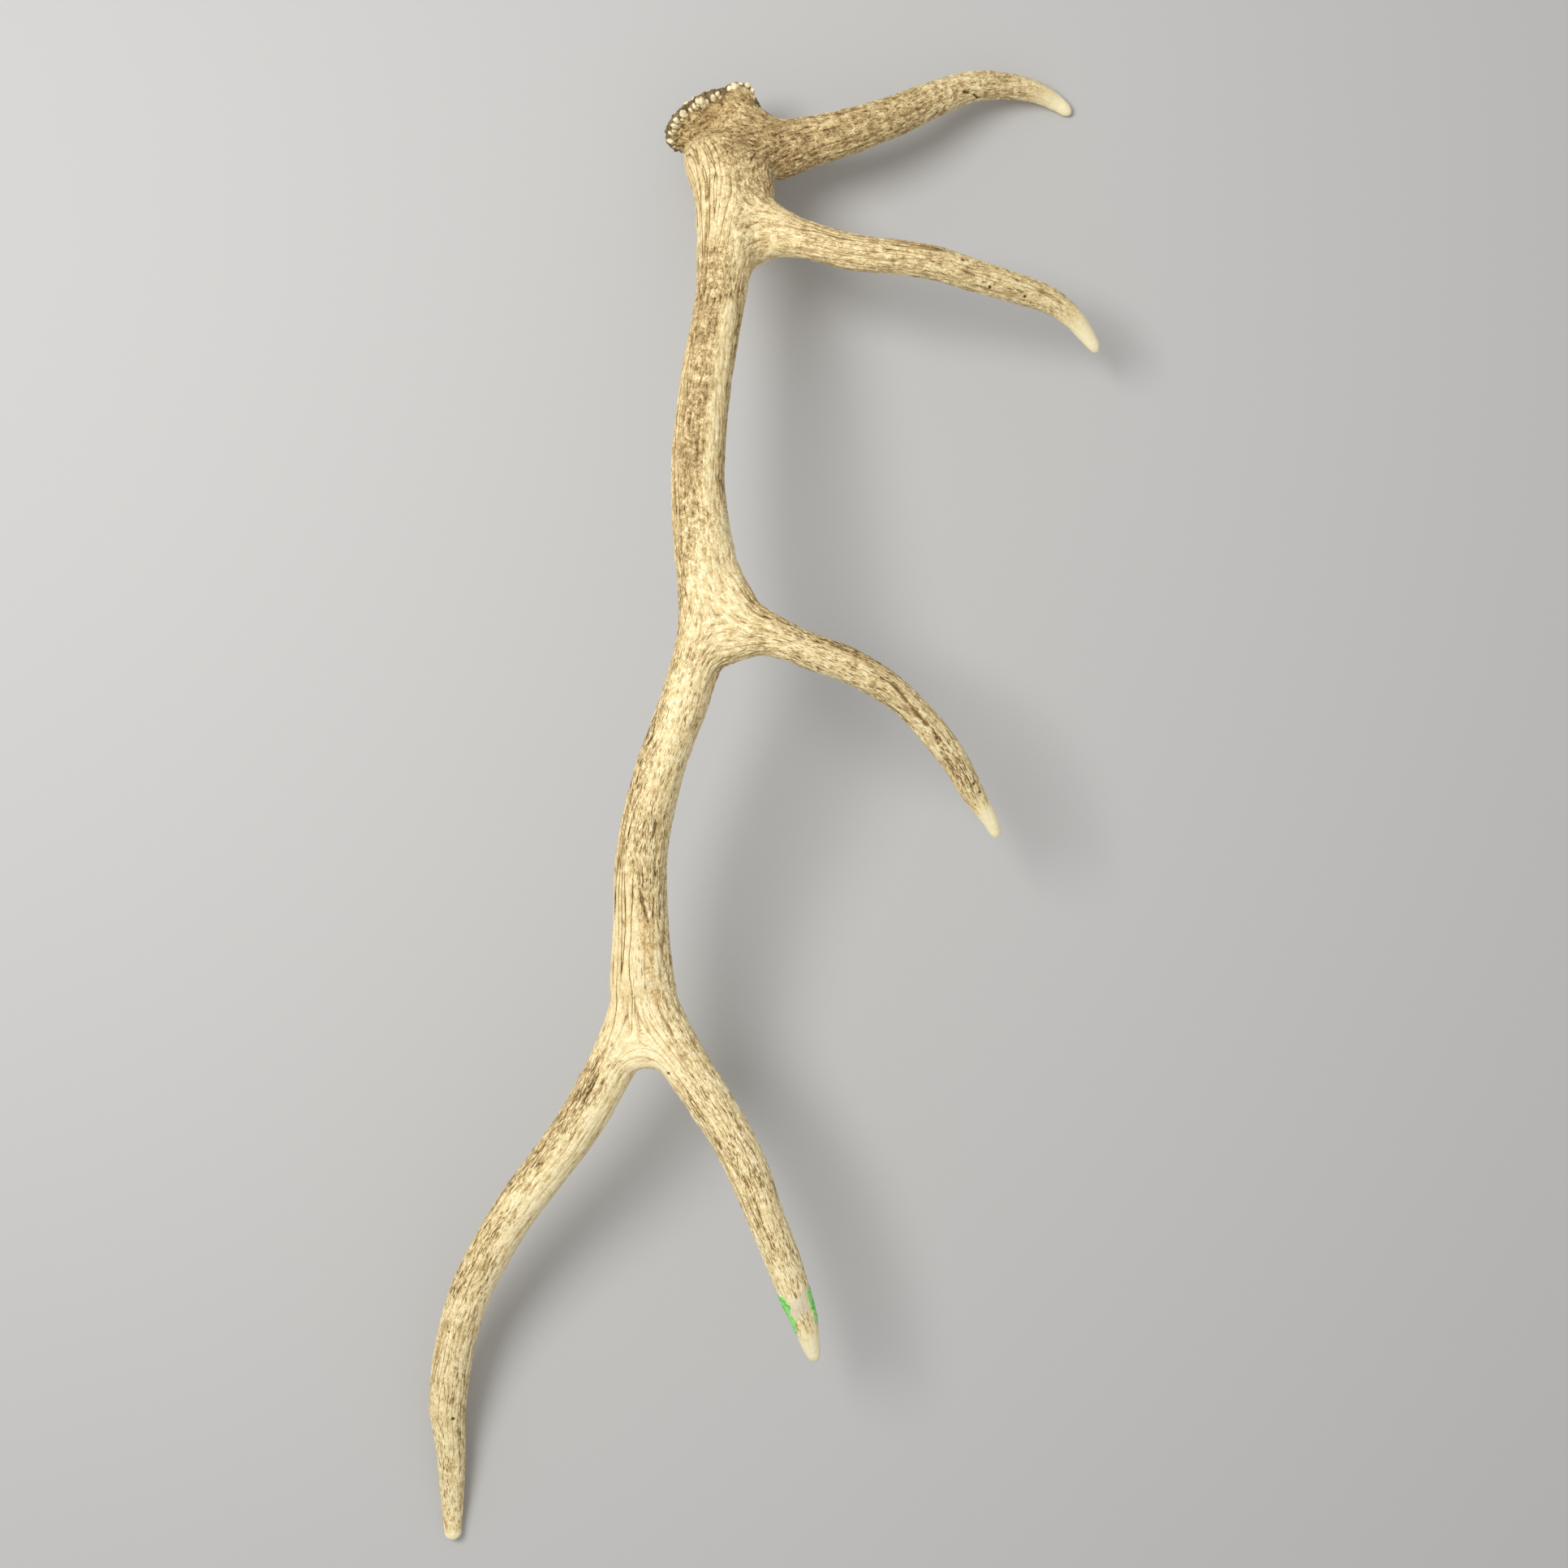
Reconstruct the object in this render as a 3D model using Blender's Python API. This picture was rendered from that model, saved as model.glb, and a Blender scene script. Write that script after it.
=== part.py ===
"""A shed deer antler with five tines, lying on its inner side.

The antler grew as one branching piece. Each branch is lofted through stations along its middle
line, the branches and the burr are fused and faired at their forks, the surface is given its
ridges and pearls, and the result is parted at the main forks, one object for each length.

Frame: metres, +Z up. The burr points to +Y, the brow, bez and trez tines to +X. The origin is
below the middle of the antler, on the surface that it lies on.
"""

import math
import random

import bmesh
import bpy
import numpy as np
from mathutils import Matrix, Vector

MM = 0.001
UP = np.array((0.0, 0.0, 1.0))

# Stations of each branch from its root to its tip, in millimetres:
# x, y and height of the middle line, width seen from above, depth across it.
BEAM = (
    (-56, 525, 37, 60, 42),
    (-49, 491, 61, 60, 50),
    (-39, 457, 83, 62, 47),
    (-43, 416, 104, 46, 43),
    (-48, 371, 124, 39, 38),
    (-60, 292, 151, 37, 37),
    (-64, 218, 166, 39, 38),
    (-60, 165, 171, 40, 38),
    (-58, 116, 172, 40, 37),
    (-71, 66, 169, 35, 35),
    (-93, 9, 162, 35, 35),
    (-106, -51, 151, 38, 36),
    (-107, -112, 138, 42, 37),
    (-105, -150, 130, 51, 36),
    (-104, -185, 125, 57, 32),
)
BROW_TINE = (
    (-38, 518, 50, 46, 45),
    (-10, 499, 59, 48, 42),
    (21, 503, 63, 38, 38),
    (52, 511, 62, 35, 35),
    (85, 524, 56, 32, 31),
    (117, 541, 45, 28, 27),
    (151, 555, 33, 24, 23),
    (180, 560, 22, 20, 19),
    (204, 558, 13, 15, 15),
    (220, 552, 7, 11, 11),
    (234, 543, 4, 7, 7),
)
BEZ_TINE = (
    (-42, 440, 90, 60, 38),
    (-12, 424, 101, 45, 35),
    (4, 419, 105, 34, 31),
    (21, 413, 109, 28, 28),
    (52, 404, 113, 27, 27),
    (83, 400, 114, 26, 26),
    (114, 396, 111, 25, 25),
    (145, 388, 104, 24, 23),
    (177, 381, 94, 22, 21),
    (205, 374, 83, 19, 18),
    (226, 363, 73, 14, 14),
    (239, 348, 65, 10, 10),
    (247, 338, 60, 6, 6),
)
TREZ_TINE = (
    (-56, 138, 170, 72, 34),
    (-45, 126, 173, 66, 34),
    (-32, 114, 175, 51, 33),
    (-14, 110, 176, 35, 30),
    (0, 105, 176, 29, 28),
    (19, 98, 174, 26, 26),
    (45, 88, 169, 25, 25),
    (70, 75, 162, 24, 24),
    (91, 58, 152, 22, 22),
    (112, 38, 141, 21, 20),
    (130, 15, 129, 18, 18),
    (145, -10, 117, 15, 15),
    (157, -29, 108, 10, 10),
    (164, -42, 102, 6, 6),
)
REAR_FORK_TINE = (
    (-105, -145, 131, 38, 34),
    (-117, -180, 122, 40, 33),
    (-137, -224, 112, 35, 32),
    (-159, -261, 103, 33, 31),
    (-183, -294, 93, 32, 31),
    (-210, -331, 81, 31, 30),
    (-231, -367, 69, 32, 30),
    (-248, -404, 56, 31, 29),
    (-259, -439, 45, 30, 28),
    (-266, -474, 35, 29, 27),
    (-269, -505, 26, 27, 25),
    (-269, -537, 18, 22, 21),
    (-269, -572, 11, 18, 17),
    (-268, -598, 7, 14, 13),
    (-268, -613, 6, 12, 11),
)
FRONT_FORK_TINE = (
    (-106, -145, 131, 38, 34),
    (-96, -175, 128, 40, 33),
    (-80, -203, 129, 36, 32),
    (-61, -231, 131, 34, 31),
    (-41, -262, 132, 32, 30),
    (-26, -292, 132, 30, 28),
    (-14, -324, 129, 27, 26),
    (-2, -356, 124, 26, 24),
    (9, -388, 117, 22, 21),
    (18, -412, 110, 17, 16),
    (22, -429, 105, 12, 12),
    (24, -440, 102, 8, 8),
)
BRANCHES = {
    "beam": BEAM,
    "brow_tine": BROW_TINE,
    "bez_tine": BEZ_TINE,
    "trez_tine": TREZ_TINE,
    "rear_fork_tine": REAR_FORK_TINE,
    "front_fork_tine": FRONT_FORK_TINE,
}

# The burr: a collar turned about the line on which the antler left the skull.
BURR_MIDDLE = (-53, 524, 36)
BURR_AXIS = (-0.33, 0.82, -0.46)
# Its profile, in millimetres: height along the axis towards the skull, radius.
BURR_PROFILE = ((-12, 22), (-7, 31), (-3, 36), (0, 37), (3, 35), (5, 30), (7, 26), (12, 24))
SEAT_HEIGHT = 10
PEARL_ROWS = ((-2.5, 35.0, 30), (2.5, 34.5, 26))
PEARL_RADIUS = (2.8, 4.0)
PEARL_SEED = 7

# Swellings of the bone in the crotches of the forks and where the brow tine leaves the burr,
# in millimetres: middle, half-sizes along X, Y, Z.
SWELLINGS = (
    ((-42, 517, 52), (21, 21, 19)),
    ((-102, -194, 128), (23, 24, 13)),
    ((-22, 410, 100), (15, 15, 14)),
    ((-42, 99, 172), (15, 13, 15)),
    ((-46, 158, 171), (11, 26, 15)),
    ((-20, 462, 76), (16, 26, 14)),
)

# Fairing of the forks, in millimetres: where, how far, and how often the surface is eased.
SKIN_EASING = 2
FORKS = (
    ((-10, 478, 75), 48, 30),
    ((-22, 420, 100), 50, 30),
    ((-38, 120, 174), 60, 30),
    ((-102, -205, 125), 55, 40),
)

# Long ridges run down every branch and fade towards its tip.
RIDGE_COUNTS = {"beam": 12, "brow_tine": 10, "bez_tine": 9, "trez_tine": 9,
                "rear_fork_tine": 10, "front_fork_tine": 9}
RIDGE_HEIGHT = 0.7
RIDGE_WANDER = 0.18
RIDGE_WANDER_LENGTH = 90.0
RIDGE_FADE = 120.0

# Where the branches are parted: branch, distance from its first station.
CUTS = (
    ("brow_tine", 52.0),
    ("bez_tine", 56.0),
    ("beam", 172.0),
    ("trez_tine", 58.0),
    ("beam", 482.0),
    ("rear_fork_tine", 98.0),
    ("front_fork_tine", 100.0),
)
PIECE_GAP = 0.3

# How finely the lofts and the fused skin are made, and how many triangles the skin keeps.
LOFT_STEP = 3.0
LOFT_SIDES = 32
TIP_ROUNDING = 7.0
VOXEL = 1.8
TRIANGLES = 8400
POINTS_AT_A_TIME = 4000

# A point inside each finished length, in millimetres, and its colour.
PIECES = {
    "burr_and_base": ((-43, 460, 82), (0.33, 0.25, 0.16)),
    "brow_tine": ((117, 542, 46), (0.44, 0.35, 0.23)),
    "bez_tine": ((114, 397, 111), (0.47, 0.38, 0.25)),
    "lower_beam": ((-60, 250, 160), (0.47, 0.38, 0.24)),
    "trez_tine": ((92, 59, 152), (0.52, 0.43, 0.29)),
    "upper_beam": ((-106, -51, 151), (0.50, 0.40, 0.25)),
    "front_fork_tine": ((-14, -324, 129), (0.55, 0.47, 0.33)),
    "rear_fork_tine": ((-248, -404, 59), (0.53, 0.45, 0.31)),
}
BONE_ROUGHNESS = 0.55
SHARP_ANGLE = math.radians(50)


def clear_scene():
    for obj in list(bpy.data.objects):
        bpy.data.objects.remove(obj)


def unit(vectors):
    return vectors / np.linalg.norm(vectors, axis=-1, keepdims=True)


def resample(stations, step):
    """Rows along a smooth curve through the stations, about one step apart."""
    rows = np.array(stations, float)
    chord = np.linalg.norm(np.diff(rows[:, :3], axis=0), axis=1)
    knot = np.concatenate(([0.0], np.cumsum(chord)))
    slope = np.gradient(rows, knot, axis=0)
    at = np.linspace(0.0, knot[-1], round(knot[-1] / step) + 1)
    i = np.clip(np.searchsorted(knot, at, side="right") - 1, 0, len(chord) - 1)
    span = chord[i][:, None]
    t = (at - knot[i])[:, None] / span
    start = (2 * t**3 - 3 * t**2 + 1) * rows[i] + (t**3 - 2 * t**2 + t) * span * slope[i]
    end = (3 * t**2 - 2 * t**3) * rows[i + 1] + (t**3 - t**2) * span * slope[i + 1]
    return start + end


class Branch:
    """The middle line of one branch, with its cross-section at each sample."""

    def __init__(self, stations):
        rows = resample(stations, LOFT_STEP)
        self.centre = rows[:, :3]
        self.along = unit(np.gradient(self.centre, axis=0))
        self.side = unit(np.cross(self.along, UP))
        self.over = np.cross(self.side, self.along)
        step = np.linalg.norm(np.diff(self.centre, axis=0), axis=1)
        self.distance = np.concatenate(([0.0], np.cumsum(step)))
        self.length = self.distance[-1]
        self.half = rows[:, 3:5] / 2 * self.tip_rounding()[:, None]

    def tip_rounding(self):
        to_tip = np.clip((self.length - self.distance) / TIP_ROUNDING, 0.02, 1.0)
        return np.sqrt(1 - (1 - to_tip) ** 2)

    def index_at(self, distance):
        return int(np.argmin(abs(self.distance - distance)))


def ring(bm, centre, side, over, half_width, half_depth, filled):
    """A ring of vertices across a branch; returns its edges."""
    across = Matrix((side * half_width, over * half_depth, np.cross(side, over))).transposed()
    place = Matrix.Translation(centre) @ across.to_4x4()
    made = bmesh.ops.create_circle(bm, cap_ends=filled, segments=LOFT_SIDES, radius=1.0,
                                   matrix=place)
    return list({edge for vert in made["verts"] for edge in vert.link_edges})


def add_loft(bm, branch):
    """A closed tube through the branch's cross-sections."""
    last = len(branch.centre) - 1
    previous = None
    for i, centre in enumerate(branch.centre):
        edges = ring(bm, centre, branch.side[i], branch.over[i], *branch.half[i],
                     filled=i in (0, last))
        if previous:
            bmesh.ops.bridge_loops(bm, edges=previous + edges)
        previous = edges


def burr_axes():
    axis = unit(np.array(BURR_AXIS))
    side = unit(np.cross(UP, axis))
    return np.array(BURR_MIDDLE, float), axis, side, np.cross(axis, side)


def add_burr_collar(bm):
    """The turned body of the burr, with the boss of its seat."""
    middle, axis, side, over = burr_axes()
    last = len(BURR_PROFILE) - 1
    previous = None
    for i, (height, radius) in enumerate(BURR_PROFILE):
        edges = ring(bm, middle + axis * height, side, over, radius, radius,
                     filled=i in (0, last))
        if previous:
            bmesh.ops.bridge_loops(bm, edges=previous + edges)
        previous = edges


def add_pearls(bm):
    """Two uneven rows of bony pearls round the rim of the burr."""
    middle, axis, side, over = burr_axes()
    dice = random.Random(PEARL_SEED)
    for height, rim, count in PEARL_ROWS:
        for i in range(count):
            angle = 2 * math.pi * (i + dice.uniform(-0.25, 0.25)) / count
            radius = dice.uniform(*PEARL_RADIUS)
            out = side * math.cos(angle) + over * math.sin(angle)
            place = middle + out * rim + axis * (height + dice.uniform(-1.0, 1.0))
            stretch = Matrix.Diagonal((1.0, 1.0, dice.uniform(0.9, 1.2), 1.0))
            bmesh.ops.create_icosphere(
                bm, subdivisions=2, radius=radius,
                matrix=Matrix.Translation(place)
                @ Vector(out).to_track_quat("Z", "Y").to_matrix().to_4x4() @ stretch)


def add_swellings(bm):
    for middle, half_sizes in SWELLINGS:
        place = Matrix.Translation(middle) @ Matrix.Diagonal((*half_sizes, 1.0))
        bmesh.ops.create_icosphere(bm, subdivisions=3, radius=1.0, matrix=place)


def with_modifier(mesh, kind, **settings):
    """A new mesh: the given one after a single modifier."""
    obj = bpy.data.objects.new("work", mesh)
    bpy.context.scene.collection.objects.link(obj)
    modifier = obj.modifiers.new(kind.title(), kind)
    for name, value in settings.items():
        setattr(modifier, name, value)
    graph = bpy.context.evaluated_depsgraph_get()
    result = bpy.data.meshes.new_from_object(obj.evaluated_get(graph))
    bpy.data.objects.remove(obj)
    bpy.data.meshes.remove(mesh)
    return result


def fused_surface(branches):
    """One closed skin over all branches, the burr and its pearls, in millimetres."""
    bm = bmesh.new()
    for branch in branches.values():
        add_loft(bm, branch)
    add_swellings(bm)
    add_burr_collar(bm)
    add_pearls(bm)
    bmesh.ops.recalc_face_normals(bm, faces=bm.faces)
    mesh = bpy.data.meshes.new("lofts")
    bm.to_mesh(mesh)
    bm.free()
    return with_modifier(mesh, "REMESH", mode="VOXEL", voxel_size=VOXEL, adaptivity=0.0)


def ease(bm, verts, times):
    for _ in range(times):
        bmesh.ops.smooth_vert(bm, verts=verts, factor=0.5, use_axis_x=True, use_axis_y=True,
                              use_axis_z=True)


def fair_forks(bm):
    """Ease the creases where the branches meet, and the rest of the surface only lightly."""
    ease(bm, bm.verts, SKIN_EASING)
    for place, reach, times in FORKS:
        ease(bm, [v for v in bm.verts if (v.co - Vector(place)).length < reach], times)


def sections_at(points, branch):
    """Where each point lies in one branch: depth from its middle line, angle, place along it."""
    index = np.empty(len(points), int)
    for start in range(0, len(points), POINTS_AT_A_TIME):
        gaps = points[start:start + POINTS_AT_A_TIME, None, :] - branch.centre[None]
        index[start:start + POINTS_AT_A_TIME] = np.argmin((gaps**2).sum(axis=2), axis=1)
    out = points - branch.centre[index]
    half = branch.half[index]
    across = (out * branch.side[index]).sum(axis=1) / half[:, 0]
    upward = (out * branch.over[index]).sum(axis=1) / half[:, 1]
    beyond = (out * branch.along[index]).sum(axis=1) / half.mean(axis=1)
    depth = np.sqrt(across**2 + upward**2 + beyond**2)
    return depth, np.arctan2(upward, across), branch.distance[index]


def ridge_heights(points, branches):
    """Height of the long ridges at each point, nothing where branches meet and at tips."""
    depths, waves = [], []
    for name, branch in branches.items():
        depth, angle, along = sections_at(points, branch)
        wander = RIDGE_WANDER * np.sin(along / RIDGE_WANDER_LENGTH * 2 * math.pi)
        wave = np.cos(RIDGE_COUNTS[name] * (angle + wander))
        depths.append(depth)
        waves.append(wave * np.clip((branch.length - along) / RIDGE_FADE, 0, 1))
    depths, waves = np.array(depths), np.array(waves)
    nearest, other = np.sort(depths, axis=0)[:2]
    own_wave = waves[np.argmin(depths, axis=0), np.arange(len(points))]
    return RIDGE_HEIGHT * own_wave * np.clip(other - nearest - 0.2, 0, 1)


def add_ridges(bm, branches):
    bm.normal_update()
    points = np.array([v.co for v in bm.verts])
    from_burr = np.linalg.norm(points - np.array(BURR_MIDDLE), axis=1)
    heights = ridge_heights(points, branches) * np.clip((from_burr - 40) / 30, 0, 1)
    for vert, height in zip(bm.verts, heights):
        vert.co += vert.normal * float(height)


def cut_across(bm, place, normal, reach):
    """Part the surface at a plane near a place, close both ends, and leave the gap."""
    near = [f for f in bm.faces if (f.calc_center_median() - place).length < reach]
    parts = near + list({e for f in near for e in f.edges} | {v for f in near for v in f.verts})
    cut = bmesh.ops.bisect_plane(bm, geom=parts, dist=1e-5, plane_co=place, plane_no=normal)
    edges = [e for e in cut["geom_cut"] if isinstance(e, bmesh.types.BMEdge)]
    split = bmesh.ops.split_edges(bm, edges=edges)["edges"]
    loops = [e for e in split if e.is_boundary]
    for side in (1, -1):
        own = [e for e in loops
               if side * (e.link_faces[0].calc_center_median() - place).dot(normal) > 0]
        for vert in {v for e in own for v in e.verts}:
            vert.co += normal * (side * PIECE_GAP / 2)
        bmesh.ops.contextual_create(bm, geom=own)


def flatten_seat(bm):
    """Cut the boss of the burr to the flat face on which it left the skull."""
    middle, axis, _, _ = burr_axes()
    seat = Vector(middle + axis * SEAT_HEIGHT)
    cut = bmesh.ops.bisect_plane(bm, geom=bm.verts[:] + bm.edges[:] + bm.faces[:], dist=1e-5,
                                 plane_co=seat, plane_no=Vector(axis), clear_outer=True)
    edges = [e for e in cut["geom_cut"] if isinstance(e, bmesh.types.BMEdge)]
    bmesh.ops.contextual_create(bm, geom=edges)


def part_at_forks(bm, branches):
    for name, distance in CUTS:
        branch = branches[name]
        i = branch.index_at(distance)
        reach = branch.half[i].max() * 1.9
        cut_across(bm, Vector(branch.centre[i]), Vector(branch.along[i]), reach)


def islands(bm):
    """The connected pieces of the surface, as lists of faces."""
    left = set(bm.faces)
    found = []
    while left:
        seed = left.pop()
        island, edge_of_search = [seed], [seed]
        while edge_of_search:
            face = edge_of_search.pop()
            for edge in face.edges:
                for neighbour in edge.link_faces:
                    if neighbour in left:
                        left.remove(neighbour)
                        island.append(neighbour)
                        edge_of_search.append(neighbour)
        found.append(island)
    return found


def bone_material(name, colour):
    material = bpy.data.materials.new(name)
    material.use_nodes = True
    shader = material.node_tree.nodes["Principled BSDF"]
    shader.inputs["Base Color"].default_value = (*colour, 1.0)
    shader.inputs["Roughness"].default_value = BONE_ROUGHNESS
    shader.inputs["Metallic"].default_value = 0.0
    return material


def piece_name(faces):
    """The length whose inner point lies nearest to these faces."""
    points = np.array([f.calc_center_median() for f in faces])
    gaps = {name: np.linalg.norm(points - np.array(place), axis=1).min()
            for name, (place, _) in PIECES.items()}
    return min(gaps, key=gaps.get)


def make_piece(bm, faces, name, offset):
    """One length of the antler as its own object, in metres."""
    keep = set(faces)
    copy = bm.copy()
    copy.faces.ensure_lookup_table()
    drop = [copy.faces[f.index] for f in bm.faces if f not in keep]
    bmesh.ops.delete(copy, geom=drop, context="FACES")
    bmesh.ops.translate(copy, verts=copy.verts, vec=offset)
    bmesh.ops.scale(copy, verts=copy.verts, vec=(MM, MM, MM))
    bmesh.ops.recalc_face_normals(copy, faces=copy.faces)
    mesh = bpy.data.meshes.new(name)
    copy.to_mesh(mesh)
    copy.free()
    mesh.shade_smooth()
    mesh.set_sharp_from_angle(angle=SHARP_ANGLE)
    mesh.materials.append(bone_material(name + "_bone", PIECES[name][1]))
    bpy.context.scene.collection.objects.link(bpy.data.objects.new(name, mesh))


def main():
    clear_scene()
    branches = {name: Branch(stations) for name, stations in BRANCHES.items()}
    mesh = fused_surface(branches)
    bm = bmesh.new()
    bm.from_mesh(mesh)
    fair_forks(bm)
    add_ridges(bm, branches)
    bmesh.ops.triangulate(bm, faces=bm.faces)
    bm.to_mesh(mesh)
    bm.free()
    ratio = TRIANGLES / len(mesh.polygons)
    mesh = with_modifier(mesh, "DECIMATE", decimate_type="COLLAPSE", ratio=ratio)

    bm = bmesh.new()
    bm.from_mesh(mesh)
    bpy.data.meshes.remove(mesh)
    flatten_seat(bm)
    part_at_forks(bm, branches)
    bmesh.ops.triangulate(bm, faces=bm.faces)
    bm.faces.index_update()
    corners = np.array([v.co for v in bm.verts])
    low, high = corners.min(axis=0), corners.max(axis=0)
    offset = Vector((-(low[0] + high[0]) / 2, -(low[1] + high[1]) / 2, -low[2]))
    for faces in islands(bm):
        make_piece(bm, faces, piece_name(faces), offset)
    bm.free()


main()
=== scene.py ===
"""The looks of a shed deer antler that lies on its inner side: relief, pearls, stains and stage.

The antler's eight lengths are one surface. It is grown once, given the relief of old bone along
the way in which the bone grew, parted where the frame's nodes are parted, and each length then
stands for its node.
"""

import math
import random

import bmesh
import bpy
import numpy as np
from bpy.props import FloatProperty, FloatVectorProperty, PointerProperty
from mathutils import Matrix, Vector


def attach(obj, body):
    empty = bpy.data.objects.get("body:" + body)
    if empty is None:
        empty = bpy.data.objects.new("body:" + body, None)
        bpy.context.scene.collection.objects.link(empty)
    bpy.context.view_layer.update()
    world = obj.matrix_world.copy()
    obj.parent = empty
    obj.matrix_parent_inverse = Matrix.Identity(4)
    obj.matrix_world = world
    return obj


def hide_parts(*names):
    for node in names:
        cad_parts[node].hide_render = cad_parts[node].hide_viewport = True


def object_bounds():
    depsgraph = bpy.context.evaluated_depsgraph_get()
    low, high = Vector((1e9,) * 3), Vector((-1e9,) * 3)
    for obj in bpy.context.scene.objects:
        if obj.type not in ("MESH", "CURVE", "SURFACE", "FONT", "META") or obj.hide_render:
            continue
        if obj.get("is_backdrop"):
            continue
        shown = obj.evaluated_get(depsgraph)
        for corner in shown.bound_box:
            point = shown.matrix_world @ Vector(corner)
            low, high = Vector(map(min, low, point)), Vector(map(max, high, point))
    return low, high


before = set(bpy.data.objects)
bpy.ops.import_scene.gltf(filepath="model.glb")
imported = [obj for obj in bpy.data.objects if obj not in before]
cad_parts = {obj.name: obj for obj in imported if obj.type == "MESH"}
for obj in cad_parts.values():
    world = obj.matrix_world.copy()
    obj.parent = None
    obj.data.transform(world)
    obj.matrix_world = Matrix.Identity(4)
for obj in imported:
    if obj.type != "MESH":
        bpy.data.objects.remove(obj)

bl_info = {
    "name": "Deer Antler",
    "version": (1, 0, 0),
    "blender": (4, 5, 0),
    "location": "3D View > Sidebar > Antler",
    "description": "Grows a weathered deer antler, length by length, and its studio stage",
    "category": "Object",
}

MM = 0.001
UP = np.array((0.0, 0.0, 1.0))

# Stations of each branch from its root to its tip, in millimetres, close to those of the solids:
# x, y and height of the middle line, width seen from above, depth across it.
BEAM = (
    (-54, 514, 27, 52, 18),
    (-49, 489, 60, 58, 48),
    (-38, 457, 83, 63, 47),
    (-43, 416, 104, 48, 44),
    (-47, 371, 124, 38, 38),
    (-58.7, 292, 151, 37.8, 37),
    (-63, 218, 166, 39.2, 38),
    (-58.4, 165, 171, 41.8, 38),
    (-57.8, 116, 172, 39, 37),
    (-71, 66, 169, 35.4, 36),
    (-91.8, 9, 162, 35.4, 36),
    (-105, -51, 151, 37.8, 36),
    (-107, -112, 138, 42.4, 37),
    (-106, -150, 130, 48.6, 36),
    (-102.4, -185, 125, 56, 32),
)
BROW_TINE = (
    (-38, 518, 50, 46, 45),
    (-10, 498, 59, 49, 42),
    (21, 503, 63, 38.2, 38),
    (51.8, 511.5, 62, 34.8, 35),
    (84.8, 524.6, 56, 30.8, 31),
    (116.8, 541.4, 45, 27.4, 27),
    (150.6, 556, 33, 23, 23),
    (180, 560, 22, 20, 19),
    (204, 558, 13, 16, 15),
    (220, 552, 7, 13, 11),
    (234, 543, 4, 9, 7),
)
BEZ_TINE = (
    (-42, 440, 90, 60, 38),
    (-12, 424, 101, 43.5, 35),
    (4, 418, 105, 34.6, 31),
    (21, 413, 109, 28.2, 28),
    (52, 404, 113, 27, 27),
    (83, 400, 114, 26, 26),
    (114, 396, 111, 25, 25),
    (145, 388, 104, 24, 23),
    (177, 381, 94, 23, 21),
    (205, 374, 83, 20, 18),
    (226, 362, 73, 16, 14),
    (239, 348, 65, 12, 10),
    (247, 338, 60, 8, 7),
)
TREZ_TINE = (
    (-56, 138, 170, 62, 34),
    (-45, 126, 173, 56, 34),
    (-32, 114, 175, 50, 33),
    (-14, 110.3, 176, 34.6, 30),
    (0, 105, 176, 28.6, 28),
    (19, 97, 174, 26.6, 26),
    (45, 88, 169, 26, 25),
    (70, 75, 162, 24, 24),
    (92, 59, 152, 22, 22),
    (112, 38, 141, 22, 20),
    (130, 15, 129, 20, 18),
    (145, -10, 117, 17, 15),
    (158, -29, 108, 12, 11),
    (164, -42, 102, 8, 7),
)
REAR_FORK_TINE = (
    (-105, -145, 131, 38, 34),
    (-116.2, -181, 122, 39.2, 33),
    (-136, -225, 112, 37, 32),
    (-158, -262, 103, 35, 31),
    (-182, -295, 93, 34, 31),
    (-209, -332, 81, 33, 30),
    (-230, -367, 69, 33, 30),
    (-248, -404, 56, 32, 29),
    (-259, -439, 45, 31, 28),
    (-266, -474, 35, 30, 27),
    (-269, -505, 26, 27, 25),
    (-268, -537, 18, 23, 21),
    (-268, -572, 11, 19, 17),
    (-268, -598, 7, 16, 13),
    (-268, -613, 6, 13, 11),
)
FRONT_FORK_TINE = (
    (-106, -145, 131, 38, 34),
    (-95, -175, 128, 41, 33),
    (-79, -203, 129, 38, 32),
    (-60.8, -231, 131, 35.4, 31),
    (-40.6, -262, 132, 32, 30),
    (-26, -292, 132, 31, 28),
    (-14, -324, 129, 28, 26),
    (-2, -356, 124, 27, 24),
    (9, -388, 117, 24, 21),
    (17, -412, 110, 19, 17),
    (21, -429, 105, 14, 13),
    (25, -442.5, 101, 8, 8),
)
BRANCHES = {
    "beam": BEAM,
    "brow_tine": BROW_TINE,
    "bez_tine": BEZ_TINE,
    "trez_tine": TREZ_TINE,
    "rear_fork_tine": REAR_FORK_TINE,
    "front_fork_tine": FRONT_FORK_TINE,
}

# The burr, in millimetres: a collar turned about the line on which the antler left the skull.
# Its profile gives a height and a radius for each ring, and it is drawn in to an oval.
BURR_MIDDLE = (-55.8, 523.9, 37.8)
BURR_AXIS = (-0.33, 0.82, -0.46)
BURR_PROFILE = ((-12, 14), (-8.5, 24), (-6, 31), (-4.5, 36.5), (-3, 39.5), (-1, 41), (1.5, 40.5),
                (4, 37), (6, 30), (7, 26), (12, 24))
BURR_STRETCH = (0.97, 0.84)
# Where the burr is flattened: direction and spread in degrees, and the share it is drawn in.
BURR_FLATS = (
    (-45, 60, 0.10),
    (-30, 32, 0.08),
    (64, 20, 0.06),
)
# The flat seat's height on the burr, and how far round it the skin is looked at.
SEAT_HEIGHT = 10
SEAT_REACH = 45
# The rim: the radii and heights between which it begins, from not at all to fully, and its top.
RIM_RADII = (34.5, 40)
RIM_HEIGHTS = (-9, -6)
RIM_TOP = 12

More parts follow.
